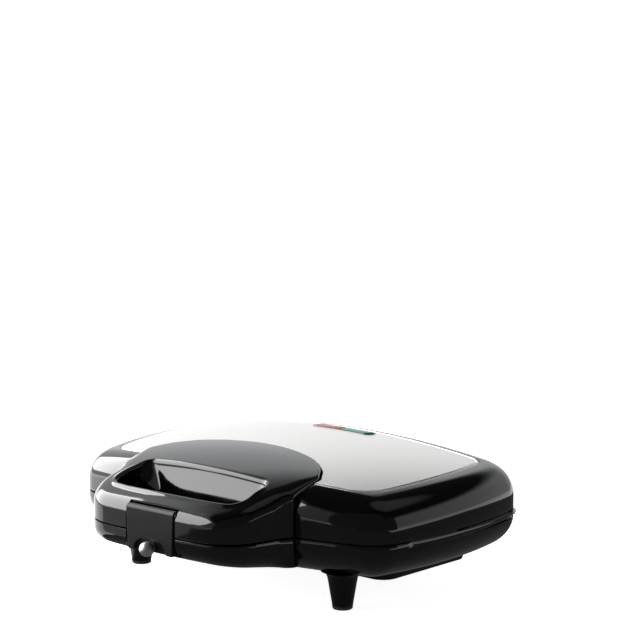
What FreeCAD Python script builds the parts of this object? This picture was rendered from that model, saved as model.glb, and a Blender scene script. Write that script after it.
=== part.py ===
"""Donut maker: a hinged, two-plate kitchen appliance with a front latch.

Three bodies: the base on its feet, the lid on a rear hinge, and the latch on the lid.
Frame: millimetres, X to the object's right, Y to its rear, Z up, origin on the table
under the middle of the whole object. The model is symmetric about X = 0, except the
cord inlet with its fittings and the two lenses.
"""
import FreeCAD
import Part
import math
import os

V = FreeCAD.Vector
X_AXIS = V(1, 0, 0)
Y_AXIS = V(0, 1, 0)
Z_AXIS = V(0, 0, 1)

# --- Driving dimensions -----------------------------------------------------------
WALL = 2.5                   # moulded wall of the housings and handles
SEAM_Z = 42.9                # middle of the seam between base and lid
SEAM_HALF = 0.4              # half of the gap between the two housings
LOWER_TOP_Z = SEAM_Z - SEAM_HALF
UPPER_BOTTOM_Z = SEAM_Z + SEAM_HALF
BASE_BOTTOM_Z = 20.3         # underside of the lower housing
BELLY_RADIUS = 20.0          # round between its wall and its underside

# Body outline in plan: a front arc, two bulging sides, a flat rear and four corners
FRONT_Y = -59.7
FRONT_RADIUS = 343.0
SIDE_X = 125.8
SIDE_Y = 24.5
SIDE_RADIUS = 222.0
REAR_Y = 95.5
FRONT_CORNER = 23.0
REAR_CORNER = 28.0

# Lid dome, part of a large sphere, and the round between it and the wall
DOME_Y = 41.5
DOME_TOP_Z = 78.6
DOME_RADIUS = 690.0
SHOULDER_RADIUS = 18.0

# Handle, seen in plan, and the notch of the housings that it sits in
HANDLE_FRONT_Y = -98.5
HANDLE_FRONT_RADIUS = 370.0
HANDLE_FRONT_X = 57.6
HANDLE_CORNER = 22.0
HANDLE_REAR_X = 66.3
NOTCH_X = 66.8
NOTCH_Y = -49.0
HANDLE_REAR_Y = NOTCH_Y - 0.2
POD_SIDE_Y = -34.0           # where the pod's sides turn into its rear arc
POD_REAR_X = 46.0
POD_REAR_RADIUS = 100.0
POD_TOP_Z = 79.5             # highest line of the handle pod
POD_TOP_Y = -0.5
POD_PROFILE_RADIUS = 225.0
POD_CROWN_RADIUS = 600.0
POD_SKIRT_Z = 62.5           # lower edge of the pod's part on the lid
HANDLE_TOP_ROUND = 4.0
HANDLE_NOSE_Z = 31.0         # underside of the lower handle at its front
HANDLE_HEEL_Z = 22.5         # and where it meets the body
HANDLE_BOTTOM_ROUND = 7.0

# Finger opening through both handles
GRIP_REAR_Y = -52.0
GRIP_REAR_X = 45.0
GRIP_FRONT_Y = -83.5
GRIP_FRONT_X = 49.0
GRIP_RADIUS = 7.0

# Stainless cover on the lid
COVER_INSET_FRONT = 16.0
COVER_INSET_SIDE = 20.0
COVER_CORNER_FRONT = 18.0
COVER_CORNER_REAR = 10.0
COVER_THICK = 0.8
COVER_PROUD = 0.3
POCKET_DEPTH = 0.6

# Cooking plates: a flange with six half-ring wells
PLATE_INSET = WALL + 0.7
PLATE_GAP = 0.1              # from the seam plane to each plate's face
PLATE_THICK = 2.5
WELL_PITCH_X = 68.0
WELL_PITCH_Y = 67.0
WELL_MIDDLE_Y = 23.0
WELL_RING = 20.5             # from a well's centre to the middle of its channel
WELL_HALF = 10.5             # half-width and depth of the channel
BOSS_X = 34.0
BOSS_RADIUS = 4.0
SCREW_RADIUS = 1.5
SCREW_HEAD_RADIUS = 3.0
SCREW_HEAD = 1.6

# Heating elements and reflectors, as drops from the seam plane
HEATER_RADIUS = 2.5
HEATER_DROP = 15.8
REFLECTOR_THICK = 0.5
LOWER_REFLECTOR_DROP = 19.3
UPPER_REFLECTOR_DROP = 21.5

# Hinge
HINGE_Y = 101.0
HINGE_Z = 43.9
KNUCKLE_RADIUS = 4.1
HINGE_X = 70.0
PIN_RADIUS = 1.5
RUNNING_GAP = 0.05

# Latch
LATCH_TOP_HALF = 18.6
LATCH_BOTTOM_HALF = 17.2
LATCH_TOP_Z = 57.8
LATCH_BOTTOM_Z = 32.2
LATCH_FACE_Y = -98.7
LATCH_THICK = 3.5
LATCH_PIN_Y = -96.9
LATCH_PIN_Z = 55.6
LATCH_PIN_RADIUS = 0.8
RECESS_HALF = 19.4
RECESS_TOP_Z = 61.0
RECESS_BACK_Y = -93.5
LOWER_RECESS_BACK_Y = -93.9
ARCH_HALF = 12.6
ARCH_HEIGHT = 6.8
ARCH_DEPTH = 2.3
KNOB_RADIUS = 4.3
KNOB_Y = -100.8
KNOB_Z = 34.6
HOOK_REACH = 0.9
CATCH_Z = 34.2
CATCH_PROUD = 1.0

# Feet and underside
FRONT_FOOT = (80.0, -26.9)
REAR_FOOT = (45.0, 74.5)
FOOT_BASE_RADIUS = 5.5
FOOT_TOP_RADIUS = 9.2
PAD_HEIGHT = 2.0
TRAY_BOTTOM_Z = 14.0
TRAY_HALF = 96.5
TRAY_FRONT_Y = -8.5
TRAY_REAR_Y = 76.5

# Indicator window
LAMP_Y = 67.0
BEZEL_HALF = 23.5
BEZEL_RADIUS = 4.5
BEZEL_BOTTOM_Z = 70.0
LENS_INSET = 1.2

# Cord inlet
INLET_X = 34.0
INLET_Z = 31.0
INLET_FACE_Y = 96.5
INLET_BORE = 3.6


# --- General helpers ---------------------------------------------------------------
def box(x0, x1, y0, y1, z0, z1):
    """Return a box from its limits along each axis."""
    return Part.makeBox(x1 - x0, y1 - y0, z1 - z0, V(x0, y0, z0))


def cylinder(radius, start, end):
    """Return a solid cylinder from one point to another."""
    start = V(*start)
    along = V(*end) - start
    return Part.makeCylinder(radius, along.Length, start, along)


def mirrored(shape):
    """Return the shape's mirror image on the other side of X = 0."""
    return shape.mirror(V(0, 0, 0), X_AXIS)


def arc(first, middle, last, z):
    """Return an arc edge through three plan points at one height."""
    points = [V(x, y, z) for x, y in (first, middle, last)]
    return Part.Arc(*points).toShape()


def line(first, last, z):
    """Return a straight edge between two plan points at one height."""
    return Part.makeLine(V(first[0], first[1], z), V(last[0], last[1], z))


def prism(edges, height):
    """Return the prism of a closed, flat loop of edges."""
    return Part.Face(Part.Wire(Part.__sortEdges__(edges))).extrude(V(0, 0, height))


def upright_edges(solid, corners):
    """Return the vertical edges of a prism that stand at the given plan points."""
    found = []
    for edge in solid.Edges:
        middle = edge.BoundBox.Center
        if edge.BoundBox.XLength > 0.01 or edge.BoundBox.YLength > 0.01:
            continue
        if any(math.hypot(middle.x - x, middle.y - y) < 0.01 for x, y in corners):
            found.append(edge)
    return found


def both_sides(corners):
    """Return plan points together with their mirror images."""
    return list(corners) + [(-x, y) for x, y in corners]


def edges_where(solid, test):
    """Return the edges of a solid whose bounding box passes a test."""
    return [edge for edge in solid.Edges if test(edge.BoundBox)]


def rounded_path(points, radius):
    """Return a wire of straight runs joined by tangent arcs of one radius."""
    points = [V(*point) for point in points]
    edges = []
    start = points[0]
    for before, corner, after in zip(points, points[1:], points[2:]):
        towards = (before - corner).normalize()
        onwards = (after - corner).normalize()
        half = towards.getAngle(onwards) / 2
        setback = radius / math.tan(half)
        enter = corner + towards * setback
        leave = corner + onwards * setback
        middle_line = (towards + onwards).normalize()
        middle = corner + middle_line * (radius / math.sin(half) - radius)
        edges.append(Part.makeLine(start, enter))
        edges.append(Part.Arc(enter, middle, leave).toShape())
        start = leave
    edges.append(Part.makeLine(start, points[-1]))
    return Part.Wire(edges)


def tube_along(path, radius):
    """Return a round bar swept along a wire."""
    first = path.Edges[0]
    direction = first.tangentAt(first.FirstParameter)
    section = Part.Wire(Part.makeCircle(radius, first.Vertexes[0].Point, direction))
    return path.makePipeShell([section], True, False)


# --- Outlines and outer forms ------------------------------------------------------
def front_y_at(x, front_y, radius):
    """Return where a front arc lies at a given x."""
    return front_y + radius - math.sqrt(radius**2 - x**2)


def on_circle(centre, radius, through):
    """Return the point of a circle in the direction of another point."""
    away = (through - centre).normalize()
    return centre + away * radius


def meeting_point(centre_0, reach_0, centre_1, reach_1):
    """Return the point at two given distances from two centres, on their +X side."""
    between = centre_1 - centre_0
    gap = between.Length
    along = (gap**2 + reach_0**2 - reach_1**2) / (2 * gap)
    across = math.sqrt(reach_0**2 - along**2)
    unit = between / gap
    foot_point = centre_0 + unit * along
    options = [foot_point + V(-unit.y, unit.x, 0) * (sign * across) for sign in (-1, 1)]
    return max(options, key=lambda point: point.x)


def corner_arc(centre, radius, first, last):
    """Return the middle point of a corner's arc between its two tangent points."""
    return on_circle(centre, radius, (first + last) / 2)


def rounded_body(front, side, rear_y, corners, z0, z1):
    """Return a prism with a front arc, two bulging sides and a flat rear.

    front and side are (position, radius) pairs, corners the front and rear radii.
    Every corner is an arc tangent to both of its neighbours.
    """
    front_centre = V(0, front[0] + front[1], 0)
    side_centre = V(side[0] - side[1], SIDE_Y, 0)
    near = meeting_point(front_centre, front[1] - corners[0], side_centre, side[1] - corners[0])
    near_0 = on_circle(front_centre, front[1], near)
    near_1 = on_circle(side_centre, side[1], near)
    far_y = rear_y - corners[1]
    far_x = side_centre.x + math.sqrt((side[1] - corners[1])**2 - (far_y - SIDE_Y)**2)
    far = V(far_x, far_y, 0)
    far_0 = on_circle(side_centre, side[1], far)
    far_1 = V(far_x, rear_y, 0)
    right = [
        Part.Arc(near_0, corner_arc(near, corners[0], near_0, near_1), near_1).toShape(),
        Part.Arc(near_1, V(side[0], SIDE_Y, 0), far_0).toShape(),
        Part.Arc(far_0, corner_arc(far, corners[1], far_0, far_1), far_1).toShape(),
    ]
    left = [mirrored(edge) for edge in right]
    nose = arc((-near_0.x, near_0.y), (0, front[0]), (near_0.x, near_0.y), 0)
    rear = line((far_x, rear_y), (-far_x, rear_y), 0)
    solid = prism(right + left + [nose, rear], z1 - z0)
    solid.translate(V(0, 0, z0))
    return solid


def body_prism(inset, z0, z1):
    """Return the body's plan outline, moved inwards, as a prism."""
    return rounded_body(
        (FRONT_Y + inset, FRONT_RADIUS - inset),
        (SIDE_X - inset, SIDE_RADIUS - inset),
        REAR_Y - inset,
        (FRONT_CORNER - inset, REAR_CORNER - inset),
        z0, z1)


def cover_prism(gap, z0, z1):
    """Return the stainless cover's plan outline, grown by a gap, as a prism."""
    front = COVER_INSET_FRONT - gap
    side = COVER_INSET_SIDE - gap
    return rounded_body(
        (FRONT_Y + front, FRONT_RADIUS - front),
        (SIDE_X - side, SIDE_RADIUS - side),
        REAR_Y - side,
        (COVER_CORNER_FRONT + gap, COVER_CORNER_REAR + gap),
        z0, z1)


def dome_ball(offset):
    """Return the ball whose top is the lid's dome, moved inwards by an offset."""
    middle = V(0, DOME_Y, DOME_TOP_Z - DOME_RADIUS)
    ball = Part.makeSphere(DOME_RADIUS - offset, middle, Y_AXIS)
    ball.rotate(middle, Y_AXIS, 180)
    return ball


def upper_form(inset, z0):
    """Return the lid housing's outer form, or a smaller one inside it."""
    solid = body_prism(inset, z0, 100.0).common(dome_ball(inset))
    rim = edges_where(solid, lambda b: b.ZMin > 55.0 and b.ZLength < 10.0)
    solid = solid.makeFillet(SHOULDER_RADIUS - inset, rim)
    notch = box(-NOTCH_X - inset, NOTCH_X + inset, -120, NOTCH_Y + inset, z0 - 1, 101)
    return solid.cut(notch)


def lower_form(inset, z1):
    """Return the lower housing's outer form, or a smaller one inside it."""
    solid = body_prism(inset, BASE_BOTTOM_Z + inset, z1)
    rim = edges_where(solid, lambda b: b.ZMax < BASE_BOTTOM_Z + inset + 0.01)
    solid = solid.makeFillet(BELLY_RADIUS - inset, rim)
    notch = box(-NOTCH_X - inset, NOTCH_X + inset, -120, NOTCH_Y + inset, 0, z1 + 1)
    return solid.cut(notch)


def handle_plan(inset, z0, z1, rear_y):
    """Return the handle's plan outline as a prism that ends at rear_y."""
    slope = (HANDLE_REAR_X - HANDLE_FRONT_X) / (HANDLE_REAR_Y - HANDLE_FRONT_Y)
    front = HANDLE_FRONT_Y + inset
    front_x = HANDLE_FRONT_X - inset
    front_y = front_y_at(front_x, front, HANDLE_FRONT_RADIUS - inset)
    rear_x = front_x + slope * (rear_y - front_y)
    edges = [
        arc((-front_x, front_y), (0, front), (front_x, front_y), z0),
        line((front_x, front_y), (rear_x, rear_y), z0),
        line((rear_x, rear_y), (-rear_x, rear_y), z0),
        line((-rear_x, rear_y), (-front_x, front_y), z0),
    ]
    solid = prism(edges, z1 - z0)
    corners = upright_edges(solid, both_sides([(front_x, front_y)]))
    return solid.makeFillet(HANDLE_CORNER - inset, corners)


def pod_plan(inset, z0, z1):
    """Return the part of the handle pod that lies on the lid, as a prism."""
    side_x = HANDLE_REAR_X - inset
    front_y = HANDLE_REAR_Y + inset
    rear_x = POD_REAR_X - inset / 2
    rear_y = -inset - rear_x**2 / (2 * POD_REAR_RADIUS)
    bend_x = (side_x + rear_x) / 2 + 2.4
    bend_y = (POD_SIDE_Y + rear_y) / 2 + 2.9
    right = [
        line((side_x, front_y), (side_x, POD_SIDE_Y), z0),
        arc((side_x, POD_SIDE_Y), (bend_x, bend_y), (rear_x, rear_y), z0),
    ]
    left = [
        line((-side_x, front_y), (-side_x, POD_SIDE_Y), z0),
        arc((-side_x, POD_SIDE_Y), (-bend_x, bend_y), (-rear_x, rear_y), z0),
    ]
    rear = arc((rear_x, rear_y), (0, -inset), (-rear_x, rear_y), z0)
    front = line((-side_x, front_y), (side_x, front_y), z0)
    return prism(right + left + [rear, front], z1 - z0)


def pod_crown(inset):
    """Return the solid below the pod's crowned top surface."""
    radius = POD_PROFILE_RADIUS - inset
    middle_z = POD_TOP_Z - POD_PROFILE_RADIUS
    ends = []
    for y in (-115.0, 15.0):
        z = middle_z + math.sqrt(radius**2 - (y - POD_TOP_Y)**2)
        ends.append(V(0, y, z))
    top = Part.Arc(ends[0], V(0, POD_TOP_Y, POD_TOP_Z - inset), ends[1]).toShape()
    floor_0 = V(0, ends[0].y, 0)
    floor_1 = V(0, ends[1].y, 0)
    edges = [
        top,
        Part.makeLine(ends[1], floor_1),
        Part.makeLine(floor_1, floor_0),
        Part.makeLine(floor_0, ends[0]),
    ]
    face = Part.Face(Part.Wire(edges))
    pivot = V(0, 0, POD_TOP_Z - POD_CROWN_RADIUS)
    sweep = 30.0
    face.rotate(pivot, Y_AXIS, -sweep / 2)
    return face.revolve(pivot, Y_AXIS, sweep)


def upper_handle_form(inset, z0):
    """Return the whole upper handle and pod as one outer form."""
    crown = pod_crown(inset)
    grip = handle_plan(inset, z0, 100.0, HANDLE_REAR_Y + 12).common(crown)
    rim = edges_where(grip, lambda b: b.ZMin > 50.0 and b.YLength + b.XLength > 4.0
                      and b.YMin < HANDLE_REAR_Y + 8)
    grip = grip.makeFillet(HANDLE_TOP_ROUND - inset, rim)
    grip = grip.common(box(-80, 80, -120, HANDLE_REAR_Y + inset, z0, 100))
    pod = pod_plan(inset, POD_SKIRT_Z, 100.0).common(crown)
    return grip.fuse(pod).removeSplitter()


def lower_handle_form(inset, z1):
    """Return the lower handle's outer form, whose underside rises to the front."""
    solid = handle_plan(inset, 10.0, z1, HANDLE_REAR_Y + inset)
    fall = (HANDLE_NOSE_Z - HANDLE_HEEL_Z) / (HANDLE_REAR_Y - HANDLE_FRONT_Y)
    points = [V(-90, y, 0) for y in (REAR_Y, -120.0)]
    for y in (-120.0, REAR_Y):
        points.append(V(-90, y, HANDLE_NOSE_Z + inset - fall * (y - HANDLE_FRONT_Y)))
    wedge = Part.Face(Part.makePolygon(points + points[:1])).extrude(V(180, 0, 0))
    solid = solid.cut(wedge)
    rim = edges_where(solid, lambda b: b.ZMax < z1 - 1 and b.ZLength < 12
                      and b.YMin < HANDLE_REAR_Y + inset - 1)
    rim = [edge for edge in rim if edge.BoundBox.XLength + edge.BoundBox.YLength > 4]
    return solid.makeFillet(HANDLE_BOTTOM_ROUND - inset, rim)


def grip_prism(outset, z0, z1):
    """Return the finger opening's plan outline, grown by an outset, as a prism."""
    rear_y = GRIP_REAR_Y + outset
    front_y = GRIP_FRONT_Y - outset
    rear_x = GRIP_REAR_X + outset
    front_x = GRIP_FRONT_X + outset
    corner_y = front_y_at(front_x, front_y, HANDLE_FRONT_RADIUS)
    edges = [
        line((-rear_x, rear_y), (rear_x, rear_y), z0),
        line((rear_x, rear_y), (front_x, corner_y), z0),
        arc((front_x, corner_y), (0, front_y), (-front_x, corner_y), z0),
        line((-front_x, corner_y), (-rear_x, rear_y), z0),
    ]
    solid = prism(edges, z1 - z0)
    corners = upright_edges(solid, both_sides([(rear_x, rear_y), (front_x, corner_y)]))
    return solid.makeFillet(GRIP_RADIUS + outset, corners)


def side_strips():
    """Return the shallow strips cut along both sides across the seam."""
    ring = body_prism(-5.0, 39.6, 45.3).cut(body_prism(1.8, 39.0, 46.0))
    right = box(60, 140, -19.5, 80, 39.6, 45.3)
    return ring.common(right.fuse(mirrored(right)))


# --- Base --------------------------------------------------------------------------
def screw(start, direction, length):
    """Return a pan-head screw: its head's underside is at start."""
    start = V(*start)
    direction = V(*direction)
    shank = Part.makeCylinder(SCREW_RADIUS, length, start, direction)
    head = Part.makeCylinder(SCREW_HEAD_RADIUS, SCREW_HEAD, start, direction * -1)
    slot = Part.makeBox(4.0, 0.7, 0.8)
    slot.translate(V(-2.0, -0.35, SCREW_HEAD - 0.8))
    slot.Placement = FreeCAD.Placement(start, FreeCAD.Rotation(Z_AXIS, direction * -1)).multiply(
        slot.Placement)
    return shank.fuse(head).cut(slot)


def handle_screw_spot(side, z):
    """Return the start of a handle screw inside the housing's front wall."""
    return (side * 57.0, NOTCH_Y + WALL, z)


def base_housing():
    """Return the lower housing with its bosses, pads and cord inlet hole."""
    shell = lower_form(0, LOWER_TOP_Z).cut(lower_form(WALL, LOWER_TOP_Z + 5))
    shell = shell.cut(side_strips())
    flange_z = SEAM_Z - PLATE_GAP - PLATE_THICK
    for side in (-1, 1):
        boss = cylinder(BOSS_RADIUS, (side * BOSS_X, WELL_MIDDLE_Y, 21),
                        (side * BOSS_X, WELL_MIDDLE_Y, flange_z))
        hole = cylinder(SCREW_RADIUS, (side * BOSS_X, WELL_MIDDLE_Y, 28),
                        (side * BOSS_X, WELL_MIDDLE_Y, 60))
        shell = shell.fuse(boss).cut(hole)
        pad = box(side * HINGE_X - 11, side * HINGE_X + 11, 90, REAR_Y, 31, LOWER_TOP_Z)
        shell = shell.fuse(pad.cut(lower_form(WALL, LOWER_TOP_Z + 5)))
        start = V(*handle_screw_spot(side, 36.0))
        shell = shell.cut(Part.makeCylinder(SCREW_RADIUS, 20, start, V(0, -1, 0)))
    inlet = cylinder(9.0, (INLET_X, 88, INLET_Z), (INLET_X, INLET_FACE_Y, INLET_Z))
    shell = shell.fuse(inlet.cut(lower_form(WALL, LOWER_TOP_Z + 5)))
    hole = cylinder(6.0, (INLET_X, 80, INLET_Z), (INLET_X, 110, INLET_Z))
    return shell.cut(hole).removeSplitter()


def cord_bush():
    """Return the flanged bush that guides the cord through the rear wall."""
    sleeve = cylinder(6.0, (INLET_X, 89, INLET_Z), (INLET_X, INLET_FACE_Y, INLET_Z))
    flange = cylinder(7.5, (INLET_X, INLET_FACE_Y, INLET_Z), (INLET_X, 99, INLET_Z))
    bore = cylinder(INLET_BORE, (INLET_X, 80, INLET_Z), (INLET_X, 110, INLET_Z))
    return sleeve.fuse(flange).cut(bore).removeSplitter()


def base_handle():
    """Return the lower handle: a hollow tray around the finger opening."""
    outer = lower_handle_form(0, LOWER_TOP_Z)
    shell = outer.cut(lower_handle_form(WALL, LOWER_TOP_Z + 5))
    collar = grip_prism(WALL, 5, LOWER_TOP_Z).common(outer)
    backing = box(-RECESS_HALF - WALL, RECESS_HALF + WALL, -99, LOWER_RECESS_BACK_Y + WALL,
                  20, LOWER_TOP_Z).common(outer)
    shell = shell.fuse(collar).fuse(backing)
    for side in (-1, 1):
        boss = cylinder(4.0, (side * 57.0, -62, 36.0), (side * 57.0, HANDLE_REAR_Y, 36.0))
        shell = shell.fuse(boss.common(outer))
        start = V(*handle_screw_spot(side, 36.0))
        shell = shell.cut(Part.makeCylinder(SCREW_RADIUS, 12, start, V(0, -1, 0)))
    shell = shell.cut(grip_prism(0, 5, 60))
    recess = box(-RECESS_HALF, RECESS_HALF, -110, LOWER_RECESS_BACK_Y, 10, 60)
    shell = shell.cut(recess).cut(catch_block())
    return shell.removeSplitter()


def catch_block():
    """Return the steel catch that the latch hook sits under."""
    return box(-11, 11, LOWER_RECESS_BACK_Y - CATCH_PROUD, LOWER_RECESS_BACK_Y + 1.6,
               CATCH_Z, CATCH_Z + 3.0)


def plate(sign):
    """Return a cooking plate with six ring wells; sign is -1 below and 1 above."""
    face_z = SEAM_Z + sign * PLATE_GAP
    back_z = face_z + sign * PLATE_THICK
    low, high = min(face_z, back_z), max(face_z, back_z)
    flange = body_prism(PLATE_INSET, low, high)
    front = box(-NOTCH_X - PLATE_INSET, NOTCH_X + PLATE_INSET, -120,
                NOTCH_Y + PLATE_INSET, low - 1, high + 1)
    solid = flange.cut(front)
    deep_z = face_z + sign * 40
    half = box(-140, 140, -120, 120, min(face_z, deep_z), max(face_z, deep_z))
    for x, y in well_centres():
        middle = V(x, y, face_z)
        cup = Part.makeTorus(WELL_RING, WELL_HALF + PLATE_THICK, middle, Z_AXIS).common(half)
        solid = solid.fuse(cup)
    for x, y in well_centres():
        middle = V(x, y, face_z)
        solid = solid.cut(Part.makeTorus(WELL_RING, WELL_HALF, middle, Z_AXIS))
    for side in (-1, 1):
        spot = (side * BOSS_X, WELL_MIDDLE_Y)
        solid = solid.cut(cylinder(SCREW_RADIUS, (*spot, low - 1), (*spot, high + 1)))
        sink = cylinder(SCREW_HEAD_RADIUS + 0.2, (*spot, face_z - sign * 1),
                        (*spot, face_z + sign * (SCREW_HEAD + 0.2)))
        solid = solid.cut(sink)
    return solid.removeSplitter()


def well_centres():
    """Return the plan centres of the ring wells, in two rows of three."""
    rows = (WELL_MIDDLE_Y - WELL_PITCH_Y / 2, WELL_MIDDLE_Y + WELL_PITCH_Y / 2)
    return [(step * WELL_PITCH_X, y) for y in rows for step in (-1, 0, 1)]


def plate_screw(sign, side):
    """Return a screw that holds a cooking plate to its housing."""
    start = (side * BOSS_X, WELL_MIDDLE_Y, SEAM_Z + sign * (PLATE_GAP + SCREW_HEAD + 0.2))
    return screw(start, (0, 0, sign), 10.0)


def heater(sign):
    """Return a bent tubular heating element behind a cooking plate."""
    z = SEAM_Z + sign * HEATER_DROP
    near_y = WELL_MIDDLE_Y - WELL_PITCH_Y / 2
    far_y = WELL_MIDDLE_Y + WELL_PITCH_Y / 2
    points = [(-12, 80, z), (-12, far_y, z), (-80, far_y, z), (-80, near_y, z),
              (80, near_y, z), (80, far_y, z), (12, far_y, z), (12, 80, z)]
    return tube_along(rounded_path(points, 11.0), HEATER_RADIUS)


def reflector(sign, drop, half_x, y0, y1):
    """Return the thin steel sheet that faces a heating element."""
    z = SEAM_Z + sign * drop
    sheet = box(-half_x, half_x, y0, y1, z, z + REFLECTOR_THICK)
    corners = upright_edges(sheet, both_sides([(half_x, y0), (half_x, y1)]))
    sheet = sheet.makeFillet(12.0, corners)
    for side in (-1, 1):
        spot = (side * BOSS_X, WELL_MIDDLE_Y)
        sheet = sheet.cut(cylinder(BOSS_RADIUS + 0.5, (*spot, z - 5), (*spot, z + 5)))
    return sheet


def foot(spot, top_z, top_radius, ceiling):
    """Return a tapered foot that stops at the surface above it."""
    x, y = spot
    cone = Part.makeCone(FOOT_BASE_RADIUS, top_radius, top_z - PAD_HEIGHT, V(x, y, PAD_HEIGHT))
    return cone.cut(ceiling)


def foot_pad(spot):
    """Return the rubber pad under a foot, with a rounded lower edge."""
    x, y = spot
    pad = Part.makeCylinder(FOOT_BASE_RADIUS, PAD_HEIGHT, V(x, y, 0))
    lower = edges_where(pad, lambda b: b.ZMax < 0.01)
    return pad.makeFillet(0.8, lower)


def bottom_tray():
    """Return the tray that closes the wiring space under the lower housing."""
    def form(inset, z0, z1):
        solid = box(-TRAY_HALF + inset, TRAY_HALF - inset, TRAY_FRONT_Y + inset,
                    TRAY_REAR_Y - inset, z0, z1)
        front = upright_edges(solid, both_sides([(TRAY_HALF - inset, TRAY_FRONT_Y + inset)]))
        solid = solid.makeFillet(8.0 - inset, front)
        rear = upright_edges(solid, both_sides([(TRAY_HALF - inset, TRAY_REAR_Y - inset)]))
        return solid.makeChamfer(14.0 - inset, rear)

    outer = form(0, TRAY_BOTTOM_Z, BASE_BOTTOM_Z)
    rim = edges_where(outer, lambda b: b.ZMax < TRAY_BOTTOM_Z + 0.01)
    outer = outer.makeFillet(1.5, rim)
    return outer.cut(form(2.0, TRAY_BOTTOM_Z + 2.0, BASE_BOTTOM_Z + 1))


def base_hinge(side):
    """Return a base hinge bracket: a plate with two ears."""
    x = side * HINGE_X
    bracket = box(x - 10, x + 10, REAR_Y, REAR_Y + 1.5, 32, 41.5)
    for offset in (-10.0, 7.0):
        ear = box(x + offset, x + offset + 3, REAR_Y, HINGE_Y + 2, 35, HINGE_Z)
        knuckle = cylinder(KNUCKLE_RADIUS, (x + offset, HINGE_Y, HINGE_Z),
                           (x + offset + 3, HINGE_Y, HINGE_Z))
        bracket = bracket.fuse(ear).fuse(knuckle)
    bore = cylinder(PIN_RADIUS, (x - 20, HINGE_Y, HINGE_Z), (x + 20, HINGE_Y, HINGE_Z))
    return bracket.cut(bore).removeSplitter()


def hinge_pin(side):
    """Return a hinge pin, pressed into the base bracket's ears."""
    x = side * HINGE_X
    return cylinder(PIN_RADIUS, (x - 10.4, HINGE_Y, HINGE_Z), (x + 10.4, HINGE_Y, HINGE_Z))


def terminal_block():
    """Return the block that joins the cord to the inner wiring."""
    block = box(INLET_X - 4, INLET_X + 4, 74.5, 84.5, 26, 34.5)
    for y in (77.0, 82.0):
        block = block.cut(cylinder(1.2, (INLET_X, y, 30), (INLET_X, y, 40)))
    return block


def thermal_fuse():
    """Return the thermal fuse in its sleeve."""
    return cylinder(2.2, (-INLET_X - 6, 78, 26.5), (-INLET_X + 6, 78, 26.5))


# --- Lid ---------------------------------------------------------------------------
def bezel_prism(outset, z0, z1):
    """Return the indicator window's rounded outline as a prism."""
    radius = BEZEL_RADIUS + outset
    straight = BEZEL_HALF - BEZEL_RADIUS
    solid = box(-straight, straight, LAMP_Y - radius, LAMP_Y + radius, z0, z1)
    for side in (-1, 1):
        spot = (side * straight, LAMP_Y)
        solid = solid.fuse(cylinder(radius, (*spot, z0), (*spot, z1)))
    return solid.removeSplitter()


def lid_housing():
    """Return the upper housing: domed shell, pocket, pod cut-out and bosses."""
    outer = upper_form(0, UPPER_BOTTOM_Z)
    shell = outer.cut(upper_form(WALL, UPPER_BOTTOM_Z - 5)).cut(side_strips())
    pocket = cover_prism(0.5, 55, 100).cut(dome_ball(POCKET_DEPTH))
    shell = shell.cut(pocket)
    shell = shell.cut(pod_plan(-0.5, POD_SKIRT_Z - 0.5, 100))
    flange_z = SEAM_Z + PLATE_GAP + PLATE_THICK
    for side in (-1, 1):
        spot = (side * BOSS_X, WELL_MIDDLE_Y)
        boss = cylinder(BOSS_RADIUS, (*spot, flange_z), (*spot, 90)).common(dome_ball(WALL / 2))
        hole = cylinder(SCREW_RADIUS, (*spot, 40), (*spot, 58))
        shell = shell.fuse(boss).cut(hole)
        start = V(*handle_screw_spot(side, 50.0))
        shell = shell.cut(Part.makeCylinder(SCREW_RADIUS, 20, start, V(0, -1, 0)))
    return shell.cut(bezel_prism(0.1, 60, 100)).removeSplitter()


def stainless_cover():
    """Return the stainless sheet let into the dome."""
    sheet = cover_prism(0, 55, 100).common(dome_ball(-COVER_PROUD))
    sheet = sheet.cut(dome_ball(COVER_THICK - COVER_PROUD))
    sheet = sheet.cut(pod_plan(-0.8, 50, 100))
    return sheet.cut(bezel_prism(0.1, 60, 100))


def lid_handle():
    """Return the upper handle and pod with the finger opening and latch recess."""
    outer = upper_handle_form(0, UPPER_BOTTOM_Z)
    shell = outer.cut(upper_handle_form(WALL, UPPER_BOTTOM_Z - 5))
    collar = grip_prism(WALL, UPPER_BOTTOM_Z, 100).common(outer)
    backing = box(-RECESS_HALF - WALL, RECESS_HALF + WALL, -99, RECESS_BACK_Y + WALL,
                  UPPER_BOTTOM_Z, 100).common(outer)
    shell = shell.fuse(collar).fuse(backing)
    for side in (-1, 1):
        boss = cylinder(4.0, (side * 57.0, -62, 50.0), (side * 57.0, HANDLE_REAR_Y, 50.0))
        shell = shell.fuse(boss.common(outer))
        start = V(*handle_screw_spot(side, 50.0))
        shell = shell.cut(Part.makeCylinder(SCREW_RADIUS, 12, start, V(0, -1, 0)))
    shell = shell.cut(grip_prism(0, 30, 100))
    shell = shell.cut(box(-RECESS_HALF, RECESS_HALF, -110, RECESS_BACK_Y, 30, RECESS_TOP_Z))
    return shell.cut(latch_pin()).removeSplitter()


def bezel():
    """Return the indicator bezel with two lens windows."""
    ring = bezel_prism(0, BEZEL_BOTTOM_Z, 100).common(dome_ball(-0.9))
    return ring.cut(bezel_prism(-LENS_INSET, 60, 100)).fuse(
        box(-0.6, 0.6, LAMP_Y - BEZEL_RADIUS, LAMP_Y + BEZEL_RADIUS, BEZEL_BOTTOM_Z, 78.4))


def lens(side):
    """Return one indicator lens, filling half of the bezel's window."""
    block = bezel_prism(-LENS_INSET - 0.05, BEZEL_BOTTOM_Z + 2, 100).common(dome_ball(-0.6))
    near, far = 0.65 * side, 30 * side
    half = box(min(near, far), max(near, far), 50, 90, 60, 100)
    return block.common(half)


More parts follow.
